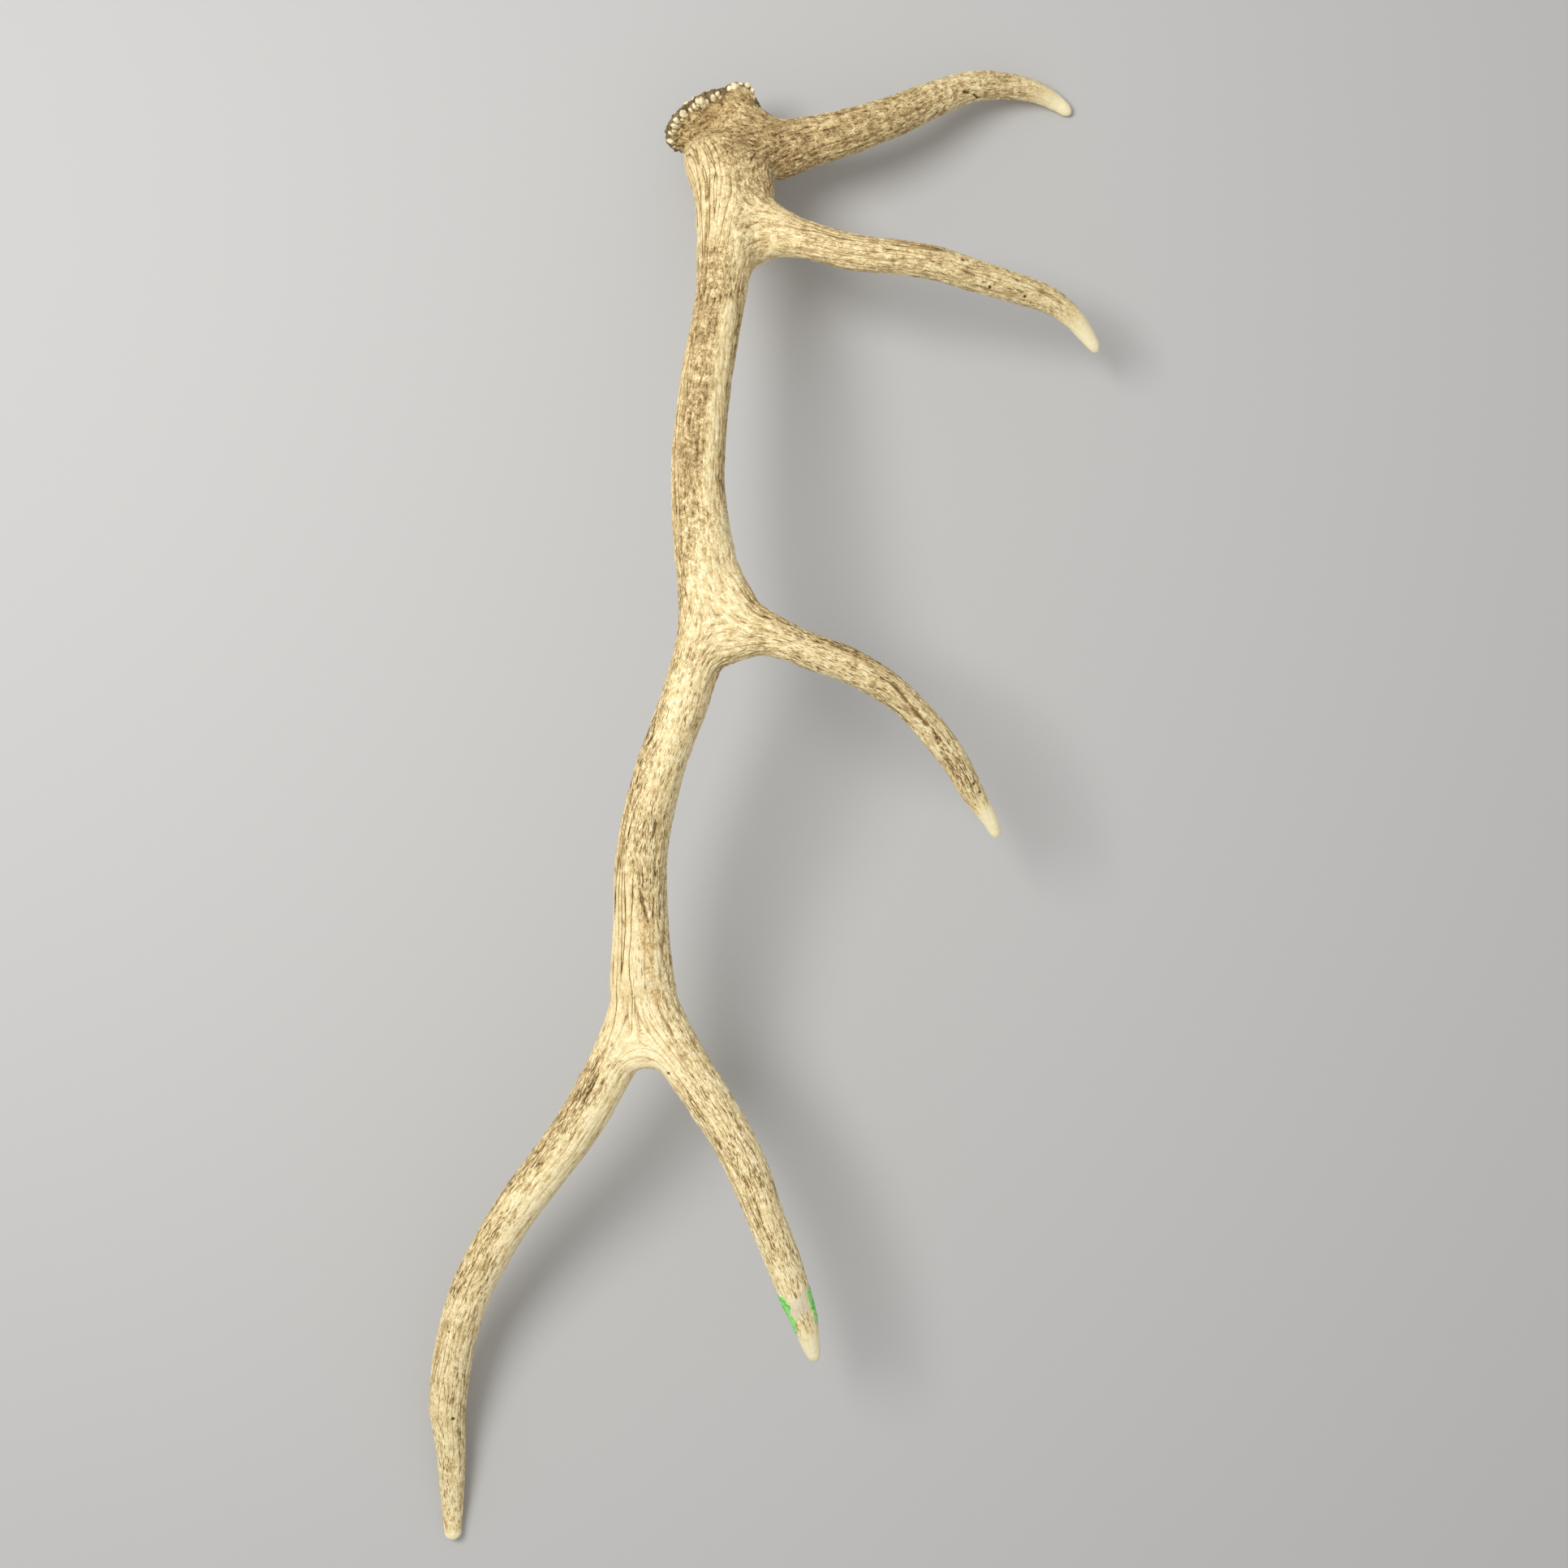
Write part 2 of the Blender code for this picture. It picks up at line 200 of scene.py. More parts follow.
# Its pearls: height and radius of each row on the burr, how many, smallest and largest radius,
# and the share of them that is rubbed pale.
PEARL_ROWS = (
    (-4.0, 37.2, 38, 0.8, 1.5, 0.85),
    (-0.8, 40.2, 52, 0.7, 1.7, 0.25),
    (3.0, 37.5, 34, 1.0, 2.4, 0.20),
)
PEARL_SEED = 7
# How unevenly they sit: along the rim in spaces between two, outwards and in height; and how far
# each is drawn out.
PEARL_DRIFT = 0.35
PEARL_OUTWARDS = (-1.8, 0.6)
PEARL_HEIGHTS = (-1.0, 1.0)
PEARL_STRETCH = (1.2, 2.4)
# How far from the burr's middle pearls lie, and how far a pearl's colour reaches in its own radii.
PEARL_REACH = 50
PEARL_SKIRT = 1.3
# The pearls that stand out: angle in degrees, radius and height on the burr, own radius, and how
# far each is drawn out.
LARGE_PEARLS = (
    (10, 37.8, -3.4, 2.3, 1.3),
    (16, 34.5, -4.0, 1.6, 2.0),
    (24, 37.8, -3.4, 1.7, 2.0),
    (36, 36.6, -3.4, 2.0, 2.6),
    (44, 38.8, -3.0, 1.8, 1.9),
    (56, 38.4, -3.2, 2.4, 1.9),
    (66, 38.0, -3.2, 1.7, 1.6),
    (73, 37.0, -3.4, 1.9, 1.8),
    (80, 39.0, -3.0, 2.4, 1.2),
    (83, 36.2, -3.8, 3.2, 1.6),
    (88, 34.2, -4.2, 2.4, 1.6),
    (98, 36.5, -3.4, 2.2, 1.4),
    (104, 39.5, -3.0, 1.6, 1.2),
    (116, 46.0, -5.4, 1.8, 1.4),
    (120, 48.0, -5.6, 2.9, 1.3),
    (126, 49.6, -4.6, 1.7, 1.3),
    (132, 50.0, -5.8, 2.2, 1.5),
    (138, 48.2, -9.0, 2.4, 1.5),
    (141, 45.4, -12.4, 1.8, 1.3),
)

# Swellings of the bone in the crotches of the forks and where the brow tine leaves the burr,
# in millimetres: middle, half-sizes along X, Y, Z.
SWELLINGS = (
    ((-36, 516, 48), (23, 24, 20)),
    ((-36, 537.5, 60), (13.5, 12, 14)),
    ((-102, -192, 128), (21, 24, 13)),
    ((-111, -203, 126), (10, 14, 11)),
    ((-22, 410, 100), (15, 15, 14)),
    ((-42, 99, 172), (15, 13, 15)),
    ((-24, 124, 173), (14, 9.5, 12)),
    ((-46, 165, 171), (11, 24, 14)),
    ((-39, 145, 172), (11, 20, 14)),
    ((-22, 463, 82), (15, 26, 14)),
    ((-20, 477, 77), (11, 19, 13)),
    ((-34, 396, 104), (10, 20, 13)),
    ((-276, -496, 27), (8, 21, 11)),
)

ROUGH_VOXEL = 2.4
SKIN_EASING = 2

# Fairing of the forks, in millimetres: where, how far, and how often the rough skin is eased.
FORKS = (
    ((-10, 478, 75), 44, 24),
    ((-22, 415, 100), 46, 24),
    ((-38, 120, 174), 60, 16),
    ((-102, -205, 125), 55, 22),
)

# Where the branches are parted: branch, distance from its first station. Round each cut the skin
# is looked at as far as so many times the branch's larger half-size.
CUT_REACH = 1.9
CUT_TOLERANCE = 1e-5
CUTS = (
    ("brow_tine", 52.0),
    ("bez_tine", 56.0),
    ("beam", 172.0),
    ("trez_tine", 58.0),
    ("beam", 482.0),
    ("rear_fork_tine", 98.0),
    ("front_fork_tine", 100.0),
)

# A point inside each finished length, in millimetres, and its slot in the record.
PIECES = {
    "burr_and_base": ((-43, 460, 82), "base_bone"),
    "lower_beam": ((-60, 250, 160), "beam_bone"),
    "upper_beam": ((-106, -51, 151), "beam_bone"),
    "brow_tine": ((117, 542, 46), "tine_bone"),
    "bez_tine": ((114, 397, 111), "tine_bone"),
    "trez_tine": ((92, 59, 152), "tine_bone"),
    "front_fork_tine": ((-14, -324, 129), "tine_bone"),
    "rear_fork_tine": ((-248, -404, 59), "tine_bone"),
}

# The vertex values that carry the unparted skin's normals, the fewest faces of a length, how many
# of its faces are passed over when its name is looked up, and the fewest sides of a cut's face.
WHOLE_NORMAL = "whole_normal"
SMALLEST_LENGTH = 1000
FACE_STRIDE = 40
CUT_FACE_SIDES = 9

# The lofts: distance of their rings, sides of a ring, how far a tip is rounded, and how many
# points are looked up along them at once.
LOFT_STEP = 3.0
LOFT_SIDES = 32
TIP_ROUNDING = 7.0
POINTS_AT_A_TIME = 4000

# The growth field: how big its cells are, how many lie round the antler, and how often the
# surface's bending and the field itself are evened out.
CELL = 4.0
CELL_MARGIN = 4
CURVATURE_EVENING = 2
FLOW_EVENING = 6

# What leads the grain: the surface's bending at its strongest, the branch, the burr and a hint.
# OFF_SURFACE is a bending beyond any real one, so that no way leads off the surface.
OFF_SURFACE = 9
BEND_PULL = 0.2
BRANCH_PULL = 0.02
BURR_PULL = 0.1
HINT_PULL = 0.3
# The hints: middle, reach and way.
GRAIN_HINTS = (
    ((-34, 520, 66), 18, (0.92, -0.38, 0.0)),
)
# Height and radius between which the burr takes over, and how plain the grain must be for long
# grooves: from not at all to fully.
BURR_HEIGHTS = (-14, -9)
BURR_RADII = (26, 32)
PLAIN_GRAIN = (0.12, 0.42)

# How much the grain wanders everywhere, how much more it turns where it swirls, and where that
# is: middle and reach.
WANDER = 0.10
WANDER_CELL = 11.0
WANDER_SEED = 50
SWIRL = 0.55
SWIRLS = (
    ((-32, 496, 80), 16),
    ((-26, 470, 88), 16),
    ((-14, 440, 96), 12),
    ((-2, 505, 72), 14),
)

# How far bare pale bone reaches from the tip of each tine, in millimetres, and how many such
# lengths the beam, which has none, counts as away from it.
BARE_TIPS = {"brow_tine": 46, "bez_tine": 48, "trez_tine": 36, "rear_fork_tine": 10,
             "front_fork_tine": 34}
FAR_FROM_TIP = 9.0

# The random patterns of the surface, in millimetres: seed, size, and how far and in which steps
# each is drawn out along the grain.
PATTERNS = {
    "groove": (11, 3.3, 54, 3.0),
    "vein": (12, 1.7, 6, 1.5),
    "pebble": (13, 1.8, 2.2, 1.1),
    "cluster": (15, 4.5, 24, 4.0),
    "patch": (16, 16.0, 24, 8.0),
}
# What frays the outline of a mark and of the mended tip, and what roughens the burr's rim: size,
# seed and cell of each layer, in millimetres.
MARK_FRAYING = ((0.35, 31, 1.6), (0.45, 33, 5.0))
REPAIR_FRAYING = ((1.0, 37, 4.0), (0.5, 38, 1.6))
RIM_KNOBS = ((0.55, 41, 1.7),)
# Depth of the marks and of the filler, and height of the residue, in millimetres.
MARK_DEPTH = 1.1
FILLER_DEPTH = 0.25
RESIDUE_HEIGHT = 0.6
# How often the surface is evened out to find its hollows, and the grain before it is stored.
HOLLOW_EVENING = 12
GRAIN_EVENING = 6

# What the surface shows in each stretch, between two points seen from above, in millimetres:
# from, to, reach, then how strong the long grooves, the pebbled bumps, the dark flecks and the
# brown tint are. Most stretches give the bone's own stains; two paint a highlight and a shade.
ELSEWHERE = (0.45, 0.55, 0.45, 0.20)
ELSEWHERE_SHARE = 0.05
STRETCHES = (
    ((-88, 504), (-70, 530), 12, (0.1, 0.8, 0.0, 0.85)),
    ((-64, 536), (-30, 532), 13, (0.1, 0.8, 0.0, 0.90)),
    ((-80, 488), (-66, 420), 12, (1.0, 0.2, 0.05, 0.42)),
    ((-60, 484), (-48, 430), 12, (0.9, 0.4, 0.05, 0.34)),
    ((-36, 496), (10, 496), 18, (0.25, 1.0, 0.0, 1.05)),
    ((-30, 468), (-12, 458), 14, (0.2, 1.0, 0.05, 0.66)),
    ((-12, 436), (4, 428), 12, (0.2, 0.5, 0.1, 0.30)),
    ((-30, 440), (-20, 400), 12, (0.3, 0.7, 0.1, 0.30)),
    ((-66, 400), (-77, 290), 6, (1.4, 0.2, 0.05, 0.45)),
    ((-58, 390), (-66, 250), 13, (0.2, 1.0, 0.08, 0.88)),
    # These two stretches paint light on the lower beam: a pale band of painted highlight along its
    # ridge, and next to it a darker strip of painted shade on the facet that turns away from the
    # light.
    ((-41, 352), (-56, 205), 6, (0.2, 0.2, 0.05, 0.0)),
    ((-31, 352), (-46, 215), 5, (0.9, 0.4, 0.3, 0.80)),
    ((-77, 290), (-84, 160), 6, (1.4, 0.3, 0.1, 0.48)),
    ((-67, 230), (-70, 170), 13, (0.2, 1.0, 0.15, 0.72)),
    ((-36, 215), (-20, 150), 7, (0.4, 0.8, 0.2, 0.50)),
    ((-55, 180), (-48, 120), 14, (0.15, 0.5, 0.1, 0.12)),
    ((-79, 160), (-82, 100), 6, (0.6, 0.4, 0.8, 0.60)),
    ((-84, 90), (-112, 0), 10, (0.4, 0.7, 1.1, 0.40)),
    ((-70, 70), (-88, -10), 11, (0.2, 0.4, 0.4, 0.12)),
    ((-118, -20), (-122, -60), 10, (0.7, 0.5, 0.9, 0.35)),
    ((-120, -75), (-118, -165), 9, (1.4, 0.1, 0.1, 0.28)),
    ((-98, -30), (-98, -100), 13, (0.5, 0.6, 0.7, 0.22)),
    ((-104, -110), (-104, -160), 9, (0.4, 0.3, 0.2, 0.05)),
    ((-84, -130), (-72, -190), 11, (0.5, 0.6, 0.5, 0.18)),
    ((-112, -185), (-100, -206), 13, (0.5, 0.1, 0.0, 0.16)),
    ((30, 512), (90, 530), 20, (0.4, 1.0, 0.1, 0.72)),
    ((110, 540), (160, 558), 18, (0.2, 0.9, 0.15, 0.34)),
    ((10, 425), (120, 404), 7, (1.0, 0.4, 0.25, 0.62)),
    ((30, 405), (150, 386), 12, (0.6, 0.7, 0.15, 0.34)),
    ((155, 390), (205, 374), 12, (0.6, 0.5, 0.35, 0.28)),
    ((-16, 137), (60, 96), 7, (0.7, 0.6, 0.7, 0.70)),
    ((10, 95), (60, 75), 12, (0.3, 0.5, 0.9, 0.15)),
    ((70, 70), (130, 5), 14, (0.5, 0.4, 1.0, 0.22)),
    ((-150, -225), (-205, -300), 10, (0.7, 0.5, 1.25, 0.50)),
    ((-125, -235), (-190, -320), 12, (0.4, 0.3, 0.1, 0.00)),
    ((-222, -330), (-250, -390), 9, (0.8, 0.4, 1.0, 0.35)),
    ((-205, -350), (-235, -420), 11, (0.4, 0.3, 0.3, 0.06)),
    ((-262, -420), (-270, -540), 15, (0.6, 0.4, 0.5, 0.12)),
    ((-55, -235), (-20, -330), 14, (0.6, 0.40, 0.7, 0.14)),
    ((-10, -345), (12, -400), 13, (0.3, 0.25, 0.85, 0.06)),
)

# Marks that the antler carries, in millimetres, seen from above. Cracks: route, width and share of
# the full depth. Pits: x, y and radius. Rust stain: route and width.
CRACKS = (
    (((143, 547), (150, 547), (158, 545), (166, 545)), 1.1, 1.0),
    (((71, 77), (80, 73), (87, 65), (94, 57), (101, 49), (107, 43)), 1.0, 0.8),
    (((112, 35), (115, 30)), 1.0, 0.7),
    (((-106, -77), (-103, -90), (-100, -102)), 0.8, 0.75),
    (((-30, -292), (-22, -310), (-15, -330), (-8, -348)), 0.5, 0.7),
)
PITS = (
    (-86, -216, 1.2),
    (-263, -505, 1.5),
    (-263, -430, 1.0),
    (-86, 506, 1.6),
    (114, 34, 1.3),
    (143, 0, 1.2),
    (148, -6, 1.1),
    (136, 397, 1.2),
    (157, 378, 1.4),
    (185, 373, 1.2),
)
RUST = ((-102, -103), (-100, -124), (-98, -140), (-95, -160))
RUST_WIDTH = 4.0

# The mended tip: its middle and reach, and the residue on either side of it: side, where it sets
# in as a share of the half-width, and where it starts and ends along the tine, each from none to
# full.
REPAIR_AT = (14, -402, 113)
REPAIR_REACH = 45.0
RESIDUE_SIDES = (
    (1, (0.56, 0.72), (-23, -18), (11, 15)),
    (-1, (0.70, 0.84), (-20, -15), (13, 18)),
)

# The grain's noise in the materials: how many steps it is drawn out by to each side, and how far
# a single noise spreads.
STREAK_TAPS = 3
STREAK_SPREAD = 0.11

# How far each kind of stain, and the painted shade in the hollows of the relief, darkens the bone,
# and the colours of ever deeper stain, with the depths from which and to which each takes over
# from the one before it.
STAINS = {"groove": 0.60, "outline": 0.36, "dash": 0.62, "tint": 0.39, "patch": 0.02,
          "vein": 0.10, "pebble": 0.10, "hollow_shade": 0.26, "fibre": 0.045, "grit": 0.08}
COLOURS = ("ivory", "cream", "tan", "brown", "dark")
STAIN_STEPS = ((0.00, 0.22), (0.18, 0.45), (0.42, 0.72), (0.70, 1.05))

# The bone's gloss, the depth of its finest relief in millimetres, and the residue's edge and
# roughness.
SPECULAR_LEVEL = 0.35
BUMP_STRENGTH = 0.5
BUMP_DEPTH = 0.3
RESIDUE_EDGE = (0.25, 0.55)
RESIDUE_ROUGHNESS = 0.3

# The stage, in metres, and the camera's sensor in millimetres.
FLOOR_HALF_SIZE = 6.0
FLOOR_ROUGHNESS = 0.9
KEY_SIZE = 1.1
KEY_PLACE = (-1.0, 0.6, 1.9)
KEY_TARGET = (0.0, 0.0, 0.1)
CAMERA_OVER = (0.0185, 0.021)
SENSOR_WIDTH = 36.0


def linear(red, green, blue):
    """Linear values of a colour that is given in 0-255 screen values."""
    screen = np.array((red, green, blue)) / 255
    return tuple(float(v) for v in np.where(screen > 0.04045, ((screen + 0.055) / 1.055) ** 2.4,
                                            screen / 12.92))


class AntlerSizes(bpy.types.PropertyGroup):
    """How finely the antler is made and how deep its relief goes."""

    voxel: FloatProperty(name="Skin fineness", default=0.85 * MM, min=0.5 * MM, max=4 * MM,
                         unit="LENGTH", precision=5,
                         description="Edge of the squares of the finished skin")
    groove: FloatProperty(name="Groove depth", default=0.75 * MM, unit="LENGTH", precision=5,
                          description="Depth of the long grooves along the branches")
    pebble: FloatProperty(name="Bump height", default=0.50 * MM, unit="LENGTH", precision=5,
                          description="Height of the pebbled bumps between the grooves")
    skin: FloatProperty(name="Skin thickness", default=0.50 * MM, unit="LENGTH", precision=5,
                        description="How far the skin stands out from the lofted branches")
    waver: FloatProperty(name="Unevenness", default=0.60 * MM, unit="LENGTH", precision=5,
                         description="Slow rise and fall of the surface")


class AntlerColours(bpy.types.PropertyGroup):
    """The colours of the bone and of what is on it."""

    ivory: FloatVectorProperty(name="Polished tip", subtype="COLOR", default=linear(254, 240, 196),
                               description="Bare bone at the tips of the tines")
    cream: FloatVectorProperty(name="Pale bone", subtype="COLOR", default=linear(236, 212, 155),
                               description="Clean bone between the stains")
    tan: FloatVectorProperty(name="Weathered bone", subtype="COLOR", default=linear(192, 166, 118),
                             description="Bone with an even brown tint")
    brown: FloatVectorProperty(name="Groove stain", subtype="COLOR", default=linear(146, 118, 72),
                               description="Stain along the grooves")
    # Besides old dirt, this colour is the painted shade in the hollows between the pearls.
    dark: FloatVectorProperty(name="Dark flecks", subtype="COLOR", default=linear(84, 62, 33),
                              description="Old dirt in pits, flecks and cracks")
    rust: FloatVectorProperty(name="Rust stain", subtype="COLOR", default=linear(200, 150, 72),
                              description="Orange stain on the upper beam")
    filler: FloatVectorProperty(name="Filler", subtype="COLOR", default=linear(232, 220, 190),
                                description="Pale filler of the mended tip")
    residue: FloatVectorProperty(name="Residue", subtype="COLOR", default=linear(156, 232, 122),
                                 description="Bright residue beside the mended tip")
    smear: FloatVectorProperty(name="Thick residue", subtype="COLOR",
                               default=linear(92, 204, 84),
                               description="The residue where it lies thick")


class AntlerStudio(bpy.types.PropertyGroup):
    """The floor, the light and the camera."""

    camera_height: FloatProperty(name="Camera height", default=1.70, unit="LENGTH",
                                 description="How high above the floor the camera looks down")
    lens: FloatProperty(name="Lens", default=48.0, unit="CAMERA",
                        description="Focal length on a 36 mm sensor")
    floor: FloatVectorProperty(name="Floor", subtype="COLOR", default=linear(190, 189, 187),
                               description="Colour of the plain floor")
    key: FloatProperty(name="Key light", default=34.0, unit="POWER", subtype="POWER",
                       description="Power of the large soft light overhead")
    fill: FloatProperty(name="Fill light", default=0.55, min=0.0,
                        description="Strength of the even light from all round")


# ---------------------------------------------------------------- the rough form

def unit(vectors):
    return vectors / np.maximum(np.linalg.norm(vectors, axis=-1, keepdims=True), 1e-12)


def smooth_step(low, high, values):
    t = np.clip((values - low) / (high - low), 0, 1)
    return t * t * (3 - 2 * t)


def resample(stations, step):
    """Rows along a smooth curve through the stations, about one step apart."""
    rows = np.array(stations, float)
    chord = np.linalg.norm(np.diff(rows[:, :3], axis=0), axis=1)
    knot = np.concatenate(([0.0], np.cumsum(chord)))
    slope = np.gradient(rows, knot, axis=0)
    at = np.linspace(0.0, knot[-1], round(knot[-1] / step) + 1)
    i = np.clip(np.searchsorted(knot, at, side="right") - 1, 0, len(chord) - 1)
    span = chord[i][:, None]
    t = (at - knot[i])[:, None] / span
    start = (2 * t**3 - 3 * t**2 + 1) * rows[i] + (t**3 - 2 * t**2 + t) * span * slope[i]
    end = (3 * t**2 - 2 * t**3) * rows[i + 1] + (t**3 - t**2) * span * slope[i + 1]
    return start + end


class Branch:
    """The middle line of one branch, with its cross-section at each sample."""

    def __init__(self, stations):
        rows = resample(stations, LOFT_STEP)
        self.centre = rows[:, :3]
        self.along = unit(np.gradient(self.centre, axis=0))
        self.side = unit(np.cross(self.along, UP))
        self.over = np.cross(self.side, self.along)
        step = np.linalg.norm(np.diff(self.centre, axis=0), axis=1)
        self.distance = np.concatenate(([0.0], np.cumsum(step)))
        self.length = self.distance[-1]
        self.half = rows[:, 3:5] / 2 * self.tip_rounding()[:, None]

    def tip_rounding(self):
        to_tip = np.clip((self.length - self.distance) / TIP_ROUNDING, 0.02, 1.0)
        return np.sqrt(1 - (1 - to_tip) ** 2)

    def index_at(self, distance):
        return int(np.argmin(abs(self.distance - distance)))


def ring(bm, centre, side, over, half_width, half_depth, filled):
    """A ring of vertices across a branch; returns its edges."""
    across = Matrix((side * half_width, over * half_depth, np.cross(side, over))).transposed()
    place = Matrix.Translation(centre) @ across.to_4x4()
    made = bmesh.ops.create_circle(bm, cap_ends=filled, segments=LOFT_SIDES, radius=1.0,
                                   matrix=place)
    return list({edge for vert in made["verts"] for edge in vert.link_edges})


def add_loft(bm, branch):
    """A closed tube through the branch's cross-sections."""
    last = len(branch.centre) - 1
    previous = None
    for i, centre in enumerate(branch.centre):
        edges = ring(bm, centre, branch.side[i], branch.over[i], *branch.half[i],
                     filled=i in (0, last))
        if previous:
            bmesh.ops.bridge_loops(bm, edges=previous + edges)
        previous = edges


def burr_axes():
    axis = unit(np.array(BURR_AXIS))
    side = unit(np.cross(UP, axis))
    return np.array(BURR_MIDDLE, float), axis, side, np.cross(axis, side)


def burr_reach(angles):
    """How far the burr reaches in directions round its axis, as a share of its radius."""
    reach = np.ones_like(angles)
    for at, spread, depth in BURR_FLATS:
        away = abs((angles - math.radians(at) + math.pi) % (2 * math.pi) - math.pi)
        reach = reach - depth * (1 - smooth_step(0, math.radians(spread), away))
    return reach


def on_burr(points):
    """The height of points on the burr, and their radius as if it were round."""
    middle, axis, side, over = burr_axes()
    out = points - middle
    across, upward = out @ side / BURR_STRETCH[0], out @ over / BURR_STRETCH[1]
    return out @ axis, np.hypot(across, upward) / burr_reach(np.arctan2(upward, across))


def burr_direction(angle, side, over):
    """The way out from the burr's axis at an angle, as long as the burr's reach there."""
    out = (side * math.cos(angle) * BURR_STRETCH[0]
           + over * math.sin(angle) * BURR_STRETCH[1])
    return out * float(burr_reach(np.array(angle)))


def add_burr_collar(bm):
    """The turned body of the burr, flattened all but at the boss of its seat."""
    middle, axis, side, over = burr_axes()
    last = len(BURR_PROFILE) - 1
    boss_radius = BURR_PROFILE[last][1]
    previous = None
    for i, (height, radius) in enumerate(BURR_PROFILE):
        edges = ring(bm, middle + axis * height, side, over, radius * BURR_STRETCH[0],
                     radius * BURR_STRETCH[1], filled=i in (0, last))
        if radius > boss_radius:
            for vert in {vert for edge in edges for vert in edge.verts}:
                out = np.array(vert.co) - middle - axis * height
                angle = math.atan2(out @ over / BURR_STRETCH[1], out @ side / BURR_STRETCH[0])
                vert.co = middle + axis * height + burr_direction(angle, side, over) * radius
        if previous:
            bmesh.ops.bridge_loops(bm, edges=previous + edges)
        previous = edges


def pearls():
    """Centre, radius, outward direction, stretch and paleness of each pearl round the burr."""
    middle, axis, side, over = burr_axes()
    dice = random.Random(PEARL_SEED)
    found = []
    for degrees, rim, height, radius, stretch in LARGE_PEARLS:
        angle = math.radians(degrees)
        out = burr_direction(angle, side, over)
        found.append((middle + out * rim + axis * height, radius, unit(out), stretch, True))
    for height, rim, count, smallest, largest, pale in PEARL_ROWS:
        for i in range(count):
            angle = 2 * math.pi * (i + dice.uniform(-PEARL_DRIFT, PEARL_DRIFT)) / count
            radius = smallest + (largest - smallest) * dice.random() ** 1.5
            out = burr_direction(angle, side, over)
            centre = (middle + out * (rim + dice.uniform(*PEARL_OUTWARDS))
                      + axis * (height + dice.uniform(*PEARL_HEIGHTS)))
            stretch = dice.uniform(*PEARL_STRETCH)
            found.append((centre, radius, unit(out), stretch, dice.random() < pale))
    return found


def add_pearls(bm):
    for centre, radius, out, stretch, _ in pearls():
        turn = Vector(out).to_track_quat("Z", "Y").to_matrix().to_4x4()
        place = Matrix.Translation(centre) @ turn @ Matrix.Diagonal((1, 1, stretch, 1))
        bmesh.ops.create_icosphere(bm, subdivisions=3, radius=radius, matrix=place)


def add_swellings(bm):
    for middle, half_sizes in SWELLINGS:
        place = Matrix.Translation(middle) @ Matrix.Diagonal((*half_sizes, 1.0))
        bmesh.ops.create_icosphere(bm, subdivisions=3, radius=1.0, matrix=place)


def place_object(name, data):
    obj = bpy.data.objects.new(name, data)
    bpy.context.scene.collection.objects.link(obj)
    return obj


def with_modifier(mesh, kind, **settings):
    """A new mesh: the given one after a single modifier."""
    obj = place_object("work", mesh)
    modifier = obj.modifiers.new(kind.title(), kind)
    for name, value in settings.items():
        setattr(modifier, name, value)
    graph = bpy.context.evaluated_depsgraph_get()
    result = bpy.data.meshes.new_from_object(obj.evaluated_get(graph))
    bpy.data.objects.remove(obj)
    bpy.data.meshes.remove(mesh)
    return result


def ease(bm, verts, times):
    for _ in range(times):
        bmesh.ops.smooth_vert(bm, verts=verts, factor=0.5, use_axis_x=True, use_axis_y=True,
                              use_axis_z=True)


def as_bmesh(mesh):
    """A mesh as a bmesh; the mesh itself is removed."""
    bm = bmesh.new()
    bm.from_mesh(mesh)
    bpy.data.meshes.remove(mesh)
    return bm


def as_mesh(bm, name):
    """A bmesh as a new mesh; the bmesh is freed."""
    mesh = bpy.data.meshes.new(name)
    bm.to_mesh(mesh)
    bm.free()
    return mesh


def fused(bm, voxel):
    """The closed skin round everything in a bmesh, eased a little; the bmesh is freed."""
    bmesh.ops.recalc_face_normals(bm, faces=bm.faces)
    mesh = with_modifier(as_mesh(bm, "skin"), "REMESH", mode="VOXEL", voxel_size=voxel,
                         adaptivity=0.0)
    skin = as_bmesh(mesh)
    ease(skin, skin.verts, SKIN_EASING)
    return skin


def rough_skin(branches):
    """The skin over all branches with its forks faired, in millimetres."""
    bm = bmesh.new()
    for branch in branches.values():
        add_loft(bm, branch)
    add_swellings(bm)
    skin = fused(bm, ROUGH_VOXEL)
    for place, reach, times in FORKS:
        ease(skin, [v for v in skin.verts if (v.co - Vector(place)).length < reach], times)
    return as_mesh(skin, "rough_skin")


def fine_skin(rough, voxel):
    """The rough skin and the burr with its pearls, as one finely meshed skin."""
    bm = as_bmesh(rough)
    add_burr_collar(bm)
    add_pearls(bm)
    return as_mesh(fused(bm, voxel), "fine_skin")


# ---------------------------------------------------------------- arrays read from a mesh

def read(items, name, width, kind=float):
    """One property of all items of a mesh, with a row for each item."""
    values = np.empty(len(items) * width, kind)
    items.foreach_get(name, values)
    return values.reshape(-1, width)


def mesh_points(mesh):
    return read(mesh.vertices, "co", 3)


def mesh_normals(mesh):
    return read(mesh.vertices, "normal", 3)


def mesh_edges(mesh):
    return read(mesh.edges, "vertices", 2, int)


def evened(values, edges, times):
    """Values at the vertices, averaged with their neighbours' again and again."""
    a, b = edges.T
    count = len(values)
    shared = np.maximum(np.bincount(a, minlength=count) + np.bincount(b, minlength=count), 1)
    values = values.reshape(count, -1)
    for _ in range(times):
        sums = [np.bincount(a, column[b], count) + np.bincount(b, column[a], count)
                for column in values.T]
        values = (values + (np.stack(sums, axis=1) / shared[:, None])) / 2
    return values.squeeze()


